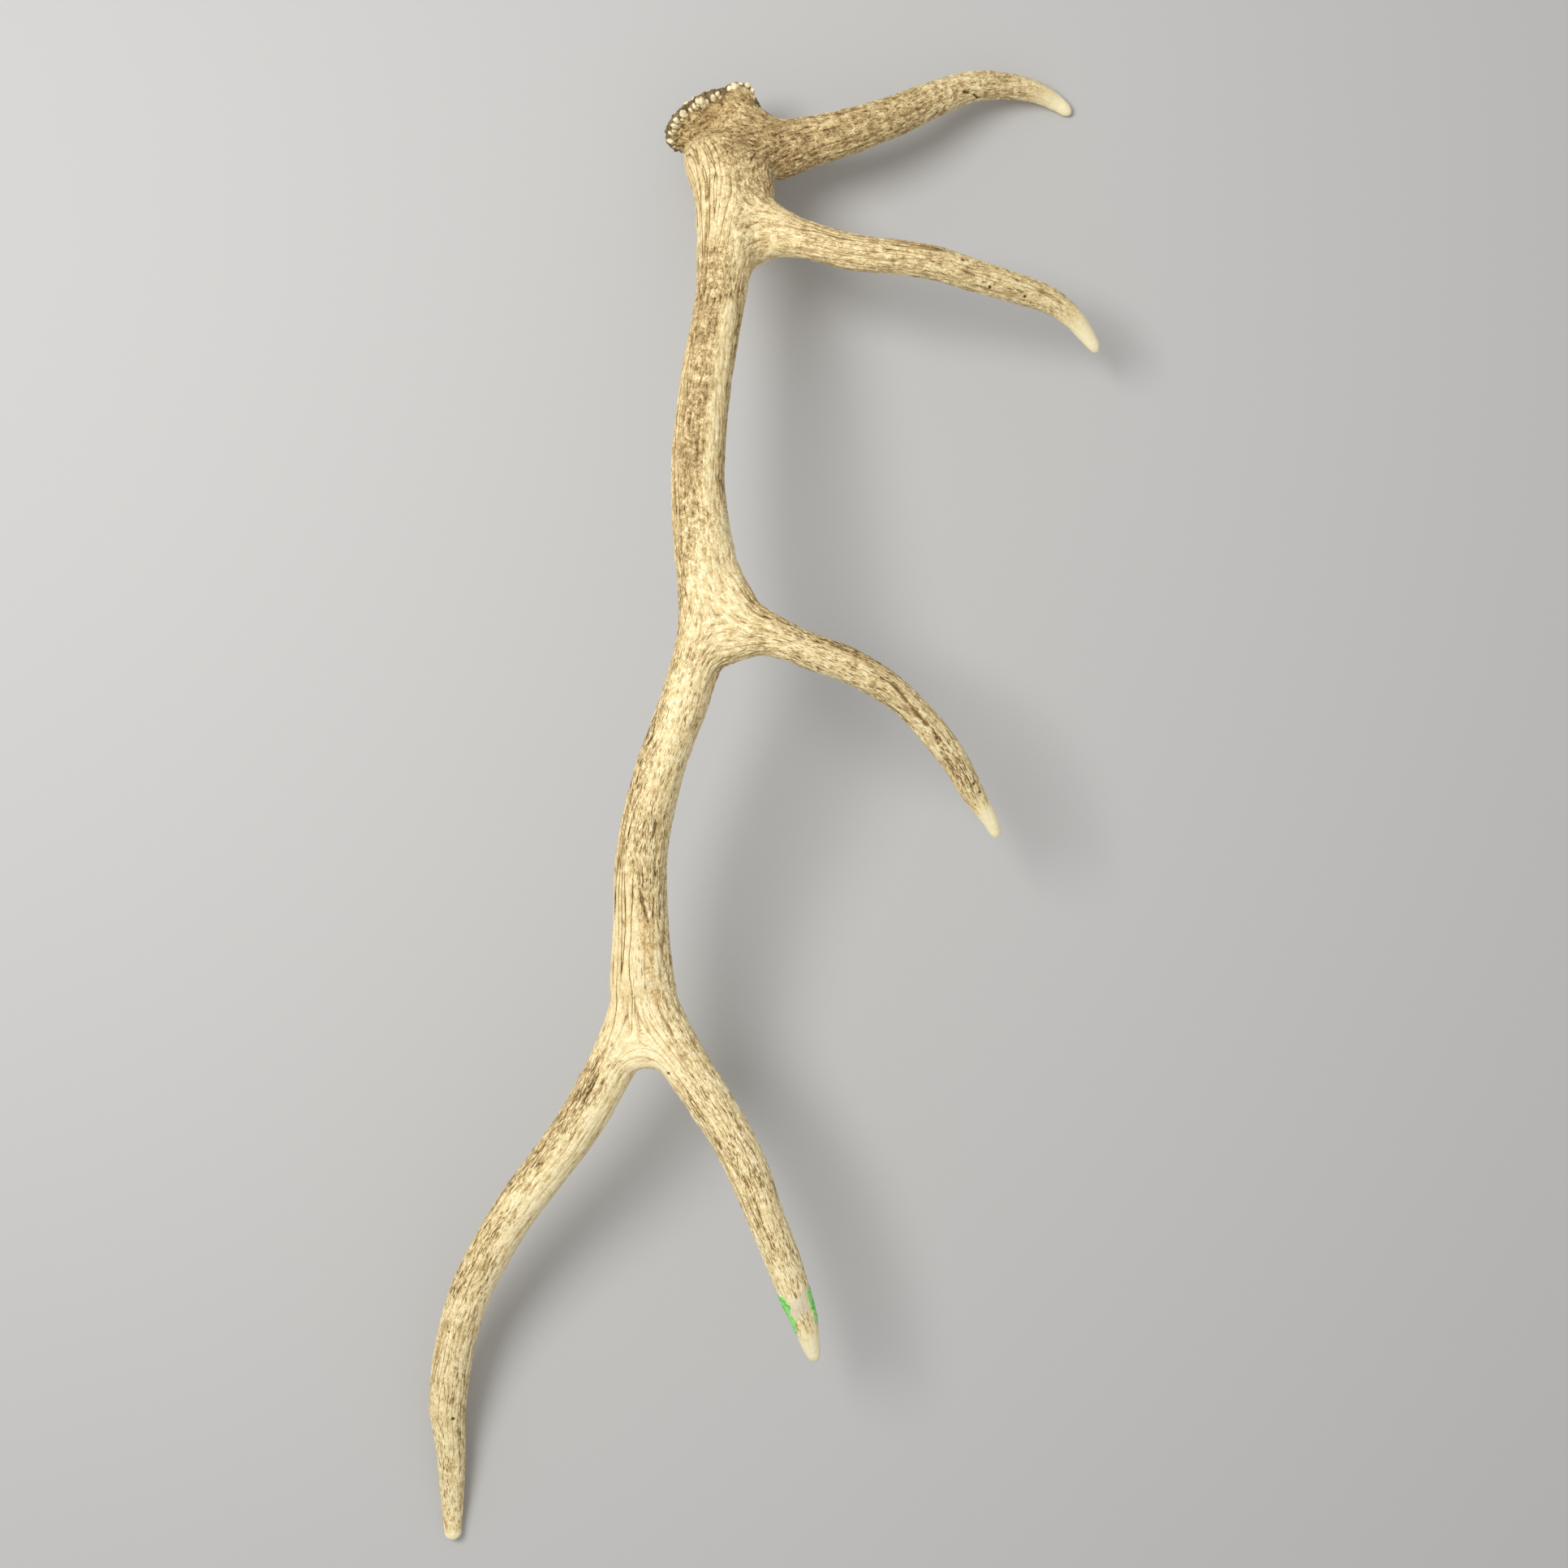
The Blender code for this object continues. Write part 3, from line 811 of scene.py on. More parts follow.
def sections_at(points, branch):
    """Where each point lies in one branch: depth from its middle line, and sample number."""
    index = np.empty(len(points), int)
    own = (branch.centre**2).sum(axis=1)
    for start in range(0, len(points), POINTS_AT_A_TIME):
        some = points[start:start + POINTS_AT_A_TIME]
        gaps = own - 2 * some @ branch.centre.T
        index[start:start + POINTS_AT_A_TIME] = np.argmin(gaps, axis=1)
    out = points - branch.centre[index]
    half = branch.half[index]
    across = (out * branch.side[index]).sum(axis=1) / half[:, 0]
    upward = (out * branch.over[index]).sum(axis=1) / half[:, 1]
    beyond = (out * branch.along[index]).sum(axis=1) / half.mean(axis=1)
    return np.sqrt(across**2 + upward**2 + beyond**2), index


class Membership:
    """For each point: how clearly one branch is nearest, its way, and how far its bare tip is.

    The distance from the tip is counted in lengths of the bare bone there.
    """

    def __init__(self, points, branches):
        depths, tangents, to_tip = [], [], []
        for branch in branches.values():
            depth, index = sections_at(points, branch)
            depths.append(depth)
            tangents.append(branch.along[index])
            to_tip.append(branch.length - branch.distance[index])
        depths = np.array(depths)
        own = np.argmin(depths, axis=0)
        nearest, other = np.sort(depths, axis=0)[:2]
        every = np.arange(len(points))
        self.clear = np.clip(other - nearest - 0.2, 0, 1)
        self.tangent = np.array(tangents)[own, every]
        bare = np.array([BARE_TIPS.get(name, 1) for name in branches])
        self.bare = np.where(own == 0, FAR_FROM_TIP, np.array(to_tip)[own, every] / bare[own])


# ---------------------------------------------------------------- the way the bone grew

def six(vectors, others):
    """The six numbers of each symmetric product of two vectors."""
    x, y, z = vectors.T
    u, v, w = others.T
    return np.stack((x * u, y * v, z * w, (x * v + y * u) / 2, (y * w + z * v) / 2,
                     (z * u + x * w) / 2), axis=1)


def full(tensors):
    """Three-by-three matrices from their six numbers."""
    xx, yy, zz, xy, yz, zx = tensors.T
    return np.stack((np.stack((xx, xy, zx), 1), np.stack((xy, yy, yz), 1),
                     np.stack((zx, yz, zz), 1)), axis=1)


class Cells:
    """A grid of cells round the antler that holds six numbers in each."""

    def __init__(self, points):
        margin = CELL_MARGIN * CELL
        self.low = points.min(axis=0) - margin
        self.shape = np.ceil((points.max(axis=0) + margin - self.low) / CELL).astype(int) + 1

    def index(self, points):
        at = np.clip(((points - self.low) / CELL).astype(int), 0, self.shape - 1)
        return (at[:, 0] * self.shape[1] + at[:, 1]) * self.shape[2] + at[:, 2]

    def middles(self, index):
        """The middle of each cell, from its number."""
        at = np.stack(np.unravel_index(index, self.shape), axis=1)
        return self.low + (at + 0.5) * CELL

    def gather(self, points, values):
        """The sum of the points' values in each cell."""
        index = self.index(points)
        size = int(np.prod(self.shape))
        sums = [np.bincount(index, column, size).astype(np.float32) for column in values.T]
        return np.stack(sums, axis=1)

    def even_out(self, values, times):
        """Each cell averaged with its neighbours, again and again."""
        grid = values.reshape(*self.shape, -1)
        for _ in range(times):
            for axis in range(3):
                grid = (np.roll(grid, 1, axis=axis) + 2 * grid + np.roll(grid, -1, axis=axis)) / 4
        return grid.reshape(len(values), -1)


def bending(points, normals, edges, cells):
    """How the surface bends at each point: its shape tensor, evened out over a few cells."""
    a, b = edges.T
    step = points[b] - points[a]
    length = np.linalg.norm(step, axis=1, keepdims=True)
    turn = (normals[b] - normals[a]) / np.maximum(length, 1e-6)
    tensors = np.concatenate((six(turn, step / np.maximum(length, 1e-6)), np.ones((len(a), 1))),
                             axis=1)
    gathered = cells.even_out(cells.gather((points[a] + points[b]) / 2, tensors),
                              CURVATURE_EVENING)
    found = gathered[cells.index(points)]
    return 2 * found[:, :6] / np.maximum(found[:, 6:], 1e-9)


class Flow:
    """The way in which the bone grew: along the branches, and round the crotches of the forks.

    The grain of an antler follows the line along which its surface bends least.
    """

    def __init__(self, points, normals, edges, member):
        self.cells = Cells(points)
        bend = full(bending(points, normals, edges, self.cells))
        flat = np.eye(3) - normals[:, :, None] * normals[:, None, :]
        bend = flat @ bend @ flat + OFF_SURFACE * normals[:, :, None] * normals[:, None, :]
        values, vectors = np.linalg.eigh(bend)
        least = vectors[:, :, 0]
        strength = np.clip(values[:, 1] - values[:, 0], 0, BEND_PULL)[:, None]
        pull = BRANCH_PULL * member.clear[:, None]
        tensors = strength * six(least, least) + pull * six(member.tangent, member.tangent)
        tensors = tensors * (1 - self.near_burr(points))[:, None]
        tensors += self.burr_rays(points, normals)
        for middle, reach, way in GRAIN_HINTS:
            share = np.exp(-(np.linalg.norm(points - np.array(middle), axis=1) / reach) ** 2)
            way = np.tile(unit(np.array(way)), (len(points), 1))
            tensors += HINT_PULL * share[:, None] * six(way, way)
        self.field = self.cells.even_out(self.cells.gather(points, tensors), FLOW_EVENING)
        self.field /= np.maximum(self.field[:, :3].sum(axis=1, keepdims=True), 1e-12)
        count = self.cells.gather(points, np.ones((len(points), 1)))
        used = np.flatnonzero(self.cells.even_out(count, 1))
        self.field[used] += self.wander(self.cells.middles(used))
        self.main = np.zeros((len(self.field), 3))
        self.steady = np.zeros(len(self.field))
        values, vectors = np.linalg.eigh(full(self.field[used]))
        self.main[used] = vectors[:, :, 2]
        self.steady[used] = smooth_step(*PLAIN_GRAIN, values[:, 2] - values[:, 1])

    @staticmethod
    def wander(points):
        """A slow random turning of the grain, strong where it swirls."""
        strength = np.full(len(points), WANDER)
        for middle, reach in SWIRLS:
            gap = np.linalg.norm(points - np.array(middle), axis=1)
            strength += SWIRL * np.exp(-(gap / reach) ** 2)
        turns = [Lattice(WANDER_SEED + k)(points, WANDER_CELL) for k in range(6)]
        return strength[:, None] * np.stack(turns, axis=1) * 0.5

    @staticmethod
    def near_burr(points):
        height, radius = on_burr(points)
        return smooth_step(*BURR_HEIGHTS, height) * smooth_step(*BURR_RADII, radius)

    def burr_rays(self, points, normals):
        """On the burr the grain runs outwards to its rim."""
        middle, axis, _, _ = burr_axes()
        out = points - middle
        ray = unit(out - (out @ axis)[:, None] * axis)
        ray = unit(ray - (ray * normals).sum(axis=1, keepdims=True) * normals)
        return BURR_PULL * self.near_burr(points)[:, None] * six(ray, ray)

    def start(self, points):
        return self.main[self.cells.index(points)]

    def ways(self, points, tangents):
        """The way of the grain at each point, turned towards the tip of its branch."""
        ways = self.start(points)
        return np.where((ways * tangents).sum(axis=1, keepdims=True) < 0, -ways, ways)

    def steady_at(self, points):
        """0 where ways of growth meet and cancel out, 1 where the grain is plain."""
        return self.steady[self.cells.index(points)]

    def onwards(self, points, ways, step):
        """The points one step further along the grain, and their new ways."""
        xx, yy, zz, xy, yz, zx = self.field[self.cells.index(points)].T
        x, y, z = ways.T
        turned = unit(np.stack((xx * x + xy * y + zx * z, xy * x + yy * y + yz * z,
                                zx * x + yz * y + zz * z), axis=1))
        return points + step * turned, turned

    def streaks(self, points, lattice, cell, reach, step):
        """A random field drawn out along the grain, with a spread of one."""
        total = lattice(points, cell)
        steps = round(reach / step)
        for sign in (1, -1):
            place, way = points, sign * self.start(points)
            for k in range(1, steps + 1):
                place, way = self.onwards(place, way, step)
                weight = math.cos(k / (steps + 1) * math.pi / 2)
                total = total + weight * lattice(place, cell)
        return (total - total.mean()) / total.std()


class Lattice:
    """Smooth random values in space, from a block of random numbers that repeats."""

    SIZE = 64
    TURN = np.array(Matrix.Rotation(0.9, 3, Vector((1, 2, 3))))

    def __init__(self, seed):
        self.values = np.random.default_rng(seed).standard_normal((self.SIZE,) * 3)

    def __call__(self, points, cell):
        at = points @ self.TURN / cell
        low = np.floor(at).astype(int)
        t = at - low
        t = t * t * (3 - 2 * t)
        corners = low % self.SIZE, (low + 1) % self.SIZE
        shares = 1 - t, t
        total = np.zeros(len(points))
        for i in (0, 1):
            for j in (0, 1):
                for k in (0, 1):
                    share = shares[i][:, 0] * shares[j][:, 1] * shares[k][:, 2]
                    total += share * self.values[corners[i][:, 0], corners[j][:, 1],
                                                 corners[k][:, 2]]
        return total


# ---------------------------------------------------------------- relief and stains

def layered(points, layers):
    """The sum of several random blocks: size, seed and cell of each."""
    return sum(size * Lattice(seed)(points, cell) for size, seed, cell in layers)


def from_segment(points, start, end):
    """How far points are from a line between two points, seen from above."""
    start, end = np.array(start, float), np.array(end, float)
    run = end - start
    t = np.clip((points[:, :2] - start) @ run / (run @ run), 0, 1)
    return np.linalg.norm(points[:, :2] - start - t[:, None] * run, axis=1)


def from_route(points, route):
    gaps = [from_segment(points, a, b) for a, b in zip(route[:-1], route[1:])]
    return np.min(gaps, axis=0)


def cover(points):
    """How strong the grooves, the bumps, the flecks and the tint are at each point."""
    shares = np.full(len(points), ELSEWHERE_SHARE)
    total = shares[:, None] * np.array(ELSEWHERE)
    for start, end, reach, values in STRETCHES:
        share = np.exp(-(from_segment(points, start, end) / reach) ** 2)
        shares += share
        total += share[:, None] * np.array(values)
    return total / shares[:, None]


def seat_share(points):
    """1 on the flat seat of the burr, 0 elsewhere."""
    return smooth_step(SEAT_HEIGHT - 2.5, SEAT_HEIGHT - 1.0, on_burr(points)[0])


def pearl_shares(points):
    """How far up a pearl each point lies, from 0 off the pearls, and how pale that pearl is."""
    near = np.flatnonzero(np.linalg.norm(points - burr_axes()[0], axis=1) < PEARL_REACH)
    top = np.zeros(len(near))
    paleness = np.zeros(len(near))
    for centre, radius, out, stretch, pale in pearls():
        offset = points[near] - centre
        offset = offset - (1 - 1 / stretch) * (offset @ out)[:, None] * out
        inside = PEARL_SKIRT - np.linalg.norm(offset, axis=1) / radius
        better = inside > top
        top[better] = inside[better]
        paleness[better] = pale
    shares = np.zeros((2, len(points)))
    shares[0, near] = top
    shares[1, near] = paleness
    return shares


def rim_share(points):
    """1 on the burr's rim, 0 elsewhere."""
    height, radius = on_burr(points)
    return (smooth_step(*RIM_RADII, radius) * smooth_step(*RIM_HEIGHTS, height)
            * (height < RIM_TOP))


def mark_share(points, upward):
    """Where cracks and pits are sunk into the upper side."""
    share = np.zeros(len(points))
    top = upward > 0.2
    ragged = layered(points, MARK_FRAYING)
    for route, width, depth in CRACKS:
        gap = from_route(points, route) + ragged
        share = np.maximum(share, depth * (1 - smooth_step(width * 0.5, width * 1.5, gap)))
    for x, y, radius in PITS:
        gap = np.linalg.norm(points[:, :2] - (x, y), axis=1)
        share = np.maximum(share, 1 - smooth_step(radius * 0.6, radius * 1.3, gap))
    return share * top


def repair_shares(points, branches):
    """The mended tip: where its filler shows, and where the residue lies along its sides."""
    branch = branches["front_fork_tine"]
    i = int(np.linalg.norm(branch.centre - REPAIR_AT, axis=1).argmin())
    out = points - branch.centre[i]
    near = np.linalg.norm(out, axis=1) < REPAIR_REACH
    run = out @ branch.along[i]
    across = out @ branch.side[i] / branch.half[i, 0]
    upward = out @ branch.over[i] / branch.half[i, 1]
    ragged = layered(points, REPAIR_FRAYING)
    filler = (smooth_step(-2, 2, run + 17 - 6 * across + 1.5 * ragged)
              * (1 - smooth_step(-1, 1, run + 1.5 - 5 * across + 0.8 * ragged)))
    residue = np.zeros(len(points))
    for side, inner, start, end in RESIDUE_SIDES:
        band = (smooth_step(*inner, side * across + 0.10 * ragged)
                * smooth_step(*start, run + ragged) * (1 - smooth_step(*end, run + 2 * ragged)))
        residue = np.maximum(residue, band)
    return filler * near, residue * (upward > -0.9) * near


def surface_fields(points, normals, flow, member, branches):
    """Relief and stains at the points of the fine skin, by the names that the materials read."""
    fields = {name: flow.streaks(points, Lattice(seed), *drawn)
              for name, (seed, *drawn) in PATTERNS.items()}
    weights = cover(points)
    polish = smooth_step(0.2, 1.3, member.bare)
    fields["groove_cover"] = weights[:, 0] * polish * flow.steady_at(points)
    fields["pebble_cover"] = weights[:, 1] * polish
    fields["fleck_cover"] = weights[:, 2] * smooth_step(0.4, 1.6, member.bare)
    fields["tint"] = weights[:, 3]
    fields["tip"] = 1 - smooth_step(0.25, 1.15, member.bare + 0.1 * fields["patch"])
    fields["seat"] = seat_share(points)
    fields["pearl"], fields["pearl_pale"] = pearl_shares(points)
    fields["rim"] = rim_share(points)
    fields["mark"] = mark_share(points, normals[:, 2])
    fields["filler"], fields["residue"] = repair_shares(points, branches)
    from_rust = from_route(points, RUST) / RUST_WIDTH + 0.25 * fields["vein"]
    fields["rust"] = (1 - smooth_step(0.3, 1.6, from_rust)) * (normals[:, 2] > 0)
    return fields


def heights(points, fields, sizes):
    """How far each point is raised, in millimetres."""
    off_seat = 1 - fields["seat"]
    calm = off_seat * (1 - fields["rim"]) * (1 - 0.8 * fields["filler"])
    grooves = 1 - smooth_step(0, 0.75, abs(fields["groove"]))
    veins = smooth_step(0.1, -1.5, fields["vein"])
    bumps = smooth_step(-0.7, 0.9, fields["pebble"]) - 0.5
    raised = -grooves * fields["groove_cover"] * sizes.groove
    raised -= veins * sizes.pebble * np.minimum(0.3 + fields["pebble_cover"], 1)
    raised += bumps * fields["pebble_cover"] * sizes.pebble
    raised += fields["patch"] * 0.3 * sizes.waver * np.minimum(fields["groove_cover"] * 3, 1)
    raised = (raised * calm + sizes.skin * off_seat) / MM
    raised += layered(points, RIM_KNOBS) * fields["rim"] * off_seat
    return (raised - MARK_DEPTH * fields["mark"] + RESIDUE_HEIGHT * fields["residue"]
            - FILLER_DEPTH * fields["filler"])


def store(mesh, name, values):
    """A named number at each vertex, which the materials read."""
    layer = mesh.attributes.new(name, "FLOAT", "POINT")
    layer.data.foreach_set("value", np.ascontiguousarray(values, np.float32))


def store_ways(mesh, ways):
    """The way of the grain at each vertex, along which the materials draw out their patterns."""
    layer = mesh.attributes.new("grain", "FLOAT_VECTOR", "POINT")
    layer.data.foreach_set("vector", np.ascontiguousarray(ways, np.float32).ravel())


def relieve(mesh, flow, branches, sizes):
    """Give the fine surface its relief and the numbers from which it is coloured."""
    points, normals, edges = mesh_points(mesh), mesh_normals(mesh), mesh_edges(mesh)
    member = Membership(points, branches)
    fields = surface_fields(points, normals, flow, member, branches)
    raised = points + normals * heights(points, fields, sizes)[:, None]
    mesh.vertices.foreach_set("co", raised.ravel())
    mesh.update()
    # How far each point lies below its neighbours; shade is painted in these hollows.
    sunk = evened(raised, edges, HOLLOW_EVENING) - raised
    fields["hollow_shade"] = (sunk * normals).sum(axis=1)
    for name, values in fields.items():
        store(mesh, name, values)
    store_ways(mesh, unit(evened(flow.ways(points, member.tangent), edges, GRAIN_EVENING)))


# ---------------------------------------------------------------- parting the surface

def cut_edges(bm, place, normal, reach, clear_outer=False):
    """Cut the surface along a plane near a place; returns the edges of the cut."""
    near = [f for f in bm.faces if (f.verts[0].co - place).length < reach]
    geometry = near + list({e for f in near for e in f.edges} | {v for f in near for v in f.verts})
    cut = bmesh.ops.bisect_plane(bm, geom=geometry, dist=CUT_TOLERANCE, plane_co=place,
                                 plane_no=normal, clear_outer=clear_outer)
    return [e for e in cut["geom_cut"] if isinstance(e, bmesh.types.BMEdge)]


def flatten_seat(bm):
    """Cut the boss of the burr to the face on which it left the skull."""
    middle, axis, _, _ = burr_axes()
    seat = Vector(middle + axis * SEAT_HEIGHT)
    fill_rim(bm, cut_edges(bm, seat, Vector(axis), SEAT_REACH, clear_outer=True))


def fill_rim(bm, rim):
    """Fill a loop of edges with one flat face whose rim stays sharp."""
    made = bmesh.ops.edgeloop_fill(bm, edges=rim)["faces"]
    for face in made:
        face.smooth = False
    for edge in rim:
        edge.smooth = False


def cut_across(bm, place, normal, reach):
    """Part the surface at a plane near a place, and close both ends.

    Each rim keeps the normals of the unparted skin, so that no seam shows.
    """
    edges = cut_edges(bm, place, normal, reach)
    bm.normal_update()
    whole = bm.verts.layers.float_vector[WHOLE_NORMAL]
    for vert in {vert for edge in edges for vert in edge.verts}:
        vert[whole] = vert.normal
    split = bmesh.ops.split_edges(bm, edges=edges)["edges"]
    loops = [e for e in split if e.is_boundary]
    for side in (1, -1):
        fill_rim(bm, [e for e in loops
                      if side * (e.link_faces[0].calc_center_median() - place).dot(normal) > 0])


def part_at_forks(bm, branches):
    bm.verts.layers.float_vector.new(WHOLE_NORMAL)
    for name, distance in CUTS:
        branch = branches[name]
        i = branch.index_at(distance)
        reach = branch.half[i].max() * CUT_REACH
        cut_across(bm, Vector(branch.centre[i]), Vector(branch.along[i]), reach)


def islands(bm):
    """The connected pieces of the surface, as lists of faces."""
    left = set(bm.faces)
    found = []
    while left:
        seed = left.pop()
        island, edge_of_search = [seed], [seed]
        while edge_of_search:
            face = edge_of_search.pop()
            for edge in face.edges:
                for neighbour in edge.link_faces:
                    if neighbour in left:
                        left.remove(neighbour)
                        island.append(neighbour)
                        edge_of_search.append(neighbour)
        found.append(island)
    return found


def piece_name(faces):
    """The length whose inner point lies nearest to these faces."""
    points = np.array([f.verts[0].co for f in faces[::FACE_STRIDE]])
    gaps = {name: np.linalg.norm(points - np.array(place), axis=1).min()
            for name, (place, _) in PIECES.items()}
    return min(gaps, key=gaps.get)


def grow(sizes):
    """The whole antler with its relief, parted at its forks: one work mesh for each length."""
    branches = {name: Branch(stations) for name, stations in BRANCHES.items()}
    voxel = sizes.voxel / MM * 1.0
    mesh = rough_skin(branches)
    points = mesh_points(mesh)
    flow = Flow(points, mesh_normals(mesh), mesh_edges(mesh), Membership(points, branches))
    mesh = fine_skin(mesh, voxel)
    relieve(mesh, flow, branches, sizes)

    bm = as_bmesh(mesh)
    for face in bm.faces:
        face.smooth = True
    flatten_seat(bm)
    part_at_forks(bm, branches)
    lengths = separate(bm)
    bm.free()
    place_in_frame(lengths)
    for mesh in lengths:
        keep_whole_normals(mesh)


def separate(bm):
    """A work mesh for each length, named after it."""
    bm.faces.index_update()
    owner = np.full(len(bm.faces), -1)
    names = list(PIECES)
    for faces in islands(bm):
        if len(faces) > SMALLEST_LENGTH:
            owner[[face.index for face in faces]] = names.index(piece_name(faces))
    lengths = []
    for number, name in enumerate(names):
        copy = bm.copy()
        drop = [face for face, kept in zip(copy.faces, owner == number) if not kept]
        bmesh.ops.delete(copy, geom=drop, context="FACES")
        lengths.append(as_mesh(copy, work_name(name)))
    return lengths


def place_in_frame(lengths):
    """Move the lengths over the frame's solids, in metres, and keep them inside their box."""
    low, high = (np.array(corner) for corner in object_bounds())
    corners = [mesh_points(mesh) * MM for mesh in lengths]
    own_low = np.min([points.min(axis=0) for points in corners], axis=0)
    own_high = np.max([points.max(axis=0) for points in corners], axis=0)
    offset = (low + high - own_low - own_high) / 2
    offset[2] = low[2] - own_low[2]
    for mesh, points in zip(lengths, corners):
        mesh.vertices.foreach_set("co", np.clip(points + offset, low, high).ravel())
        mesh.update()


def keep_whole_normals(mesh):
    """Shade the rims of a length with the normals that the unparted skin had there."""
    whole = read(mesh.attributes[WHOLE_NORMAL].data, "vector", 3)
    corner_vert = read(mesh.loops, "vertex_index", 1, int).ravel()
    face_sides = read(mesh.polygons, "loop_total", 1, int).ravel()
    corners = read(mesh.corner_normals, "vector", 3)
    on_skin = np.repeat(face_sides < CUT_FACE_SIDES, face_sides)
    rim = on_skin & (abs(whole).sum(axis=1) > 0.5)[corner_vert]
    corners[rim] = whole[corner_vert[rim]]
    mesh.normals_split_custom_set(corners)
    mesh.attributes.remove(mesh.attributes[WHOLE_NORMAL])


def work_name(piece):
    return "grown_" + piece


# ---------------------------------------------------------------- node groups and materials

def new_group(name, inputs, outputs):
    """An empty shader node group with named sockets; returns it with its two end nodes."""
    group = bpy.data.node_groups.new(name, "ShaderNodeTree")
    for label, kind, value in inputs:
        socket = group.interface.new_socket(label, in_out="INPUT", socket_type=kind)
        socket.default_value = value
    for label, kind in outputs:
        group.interface.new_socket(label, in_out="OUTPUT", socket_type=kind)
    return group, group.nodes.new("NodeGroupInput"), group.nodes.new("NodeGroupOutput")


def add(tree, kind, **settings):
    node = tree.nodes.new(kind)
    for name, value in settings.items():
        setattr(node, name, value)
    return node


def feed(tree, socket, value):
    """Link a socket to another, or set its value."""
    if isinstance(value, bpy.types.NodeSocket):
        tree.links.new(value, socket)
    else:
        socket.default_value = value


def maths(tree, operation, *values):
    node = add(tree, "ShaderNodeMath", operation=operation)
    for socket, value in zip(node.inputs, values):
        feed(tree, socket, value)
    return node.outputs[0]


def product(tree, value, *factors):
    for factor in factors:
        value = maths(tree, "MULTIPLY", value, factor)
    return value


def ramp(tree, value, low, high, to_low=0.0, to_high=1.0):
    """A smooth rise from one value to another."""
    node = add(tree, "ShaderNodeMapRange", interpolation_type="SMOOTHSTEP")
    for socket, item in zip(node.inputs, (value, low, high, to_low, to_high)):
        feed(tree, socket, item)
    return node.outputs[0]


def mix(tree, share, first, second):
    """A first colour that gives way to a second one by a share."""
    node = add(tree, "ShaderNodeMix", data_type="RGBA")
    feed(tree, node.inputs[0], share)
    feed(tree, node.inputs[6], first)
    feed(tree, node.inputs[7], second)
    return node.outputs[2]


def stored(tree, name):
    """A number that is stored at each vertex."""
    return add(tree, "ShaderNodeAttribute", attribute_name=name).outputs["Fac"]


def noise_at(tree, place, scale, detail, roughness=0.5):
    """Noise at a place, from 0 to 1."""
    node = add(tree, "ShaderNodeTexNoise")
    for name, value in (("Vector", place), ("Scale", scale), ("Detail", detail),
                        ("Roughness", roughness)):
        feed(tree, node.inputs[name], value)
    return node.outputs["Fac"]


def noise(tree, scale, detail=2.0, roughness=0.5):
    place = add(tree, "ShaderNodeTexCoord").outputs["Object"]
    return noise_at(tree, place, scale, detail, roughness)


def signed_noise(tree, scale, detail=3.0, roughness=0.6):
    return maths(tree, "MULTIPLY_ADD", noise(tree, scale, detail, roughness), 2.0, -1.0)


def scaled_sum(tree, start, *parts):
    """A start value plus each part times its share."""
    total = start
    for share, part in parts:
        total = maths(tree, "MULTIPLY_ADD", part, share, total)
    return total


def grain_group():
    """Noise that is drawn out along the grain, with a spread of about one."""
    group, start, end = new_group("Grain streaks", (
        ("Scale", "NodeSocketFloat", 1000.0), ("Step", "NodeSocketFloat", MM)), (
        ("Value", "NodeSocketFloat"),))
    place = add(group, "ShaderNodeTexCoord").outputs["Object"]
    way = add(group, "ShaderNodeAttribute", attribute_name="grain").outputs["Vector"]
    shares = [math.cos(k * math.pi / (2 * STREAK_TAPS + 2)) for k in range(STREAK_TAPS + 1)]
    total = 0.0
    for k in range(-STREAK_TAPS, STREAK_TAPS + 1):
        shift = add(group, "ShaderNodeVectorMath", operation="SCALE")
        feed(group, shift.inputs[0], way)
        feed(group, shift.inputs["Scale"], product(group, start.outputs["Step"], k))
        moved = add(group, "ShaderNodeVectorMath", operation="ADD")
        feed(group, moved.inputs[0], place)
        feed(group, moved.inputs[1], shift.outputs[0])
        drawn = noise_at(group, moved.outputs[0], start.outputs["Scale"], 1.0)
        total = maths(group, "MULTIPLY_ADD", drawn, shares[abs(k)], total)
    middle = sum(shares) - shares[0] / 2
    spread = STREAK_SPREAD * math.sqrt(2 * sum(share**2 for share in shares) - shares[0] ** 2)
    feed(group, end.inputs["Value"],
         maths(group, "DIVIDE", maths(group, "SUBTRACT", total, middle), spread))
    return group


def streaks(tree, group, scale, step):
    """The grain's noise, drawn out by a step that is given in millimetres."""
    node = add(tree, "ShaderNodeGroup", node_tree=group)
    node.inputs["Scale"].default_value = scale
    feed(tree, node.inputs["Step"], product(tree, step, MM))
    return node.outputs["Value"]


def groove_stain(tree, fine, fade):
    """Dark lines down the long grooves."""
    gap = scaled_sum(tree, maths(tree, "ABSOLUTE", stored(tree, "groove")), (0.10, fine))
    return product(tree, ramp(tree, gap, 0.02, 0.28, 1.0, 0.0), fade,
                   stored(tree, "groove_cover"))


def outline_stain(tree, grain, fine, fade, bumps):
    """Dark outlines round the bumps, which are drawn out less where there are many."""
    drawn = maths(tree, "MULTIPLY_ADD", bumps, -0.45, 0.80)
    gap = scaled_sum(tree, streaks(tree, grain, 520.0, drawn),
                     (0.55, stored(tree, "pebble")), (0.45, fine))
    return product(tree, ramp(tree, maths(tree, "ABSOLUTE", gap), 0.30, 1.20, 1.0, 0.0), fade,
                   maths(tree, "MULTIPLY_ADD", bumps, 0.85, 0.15))


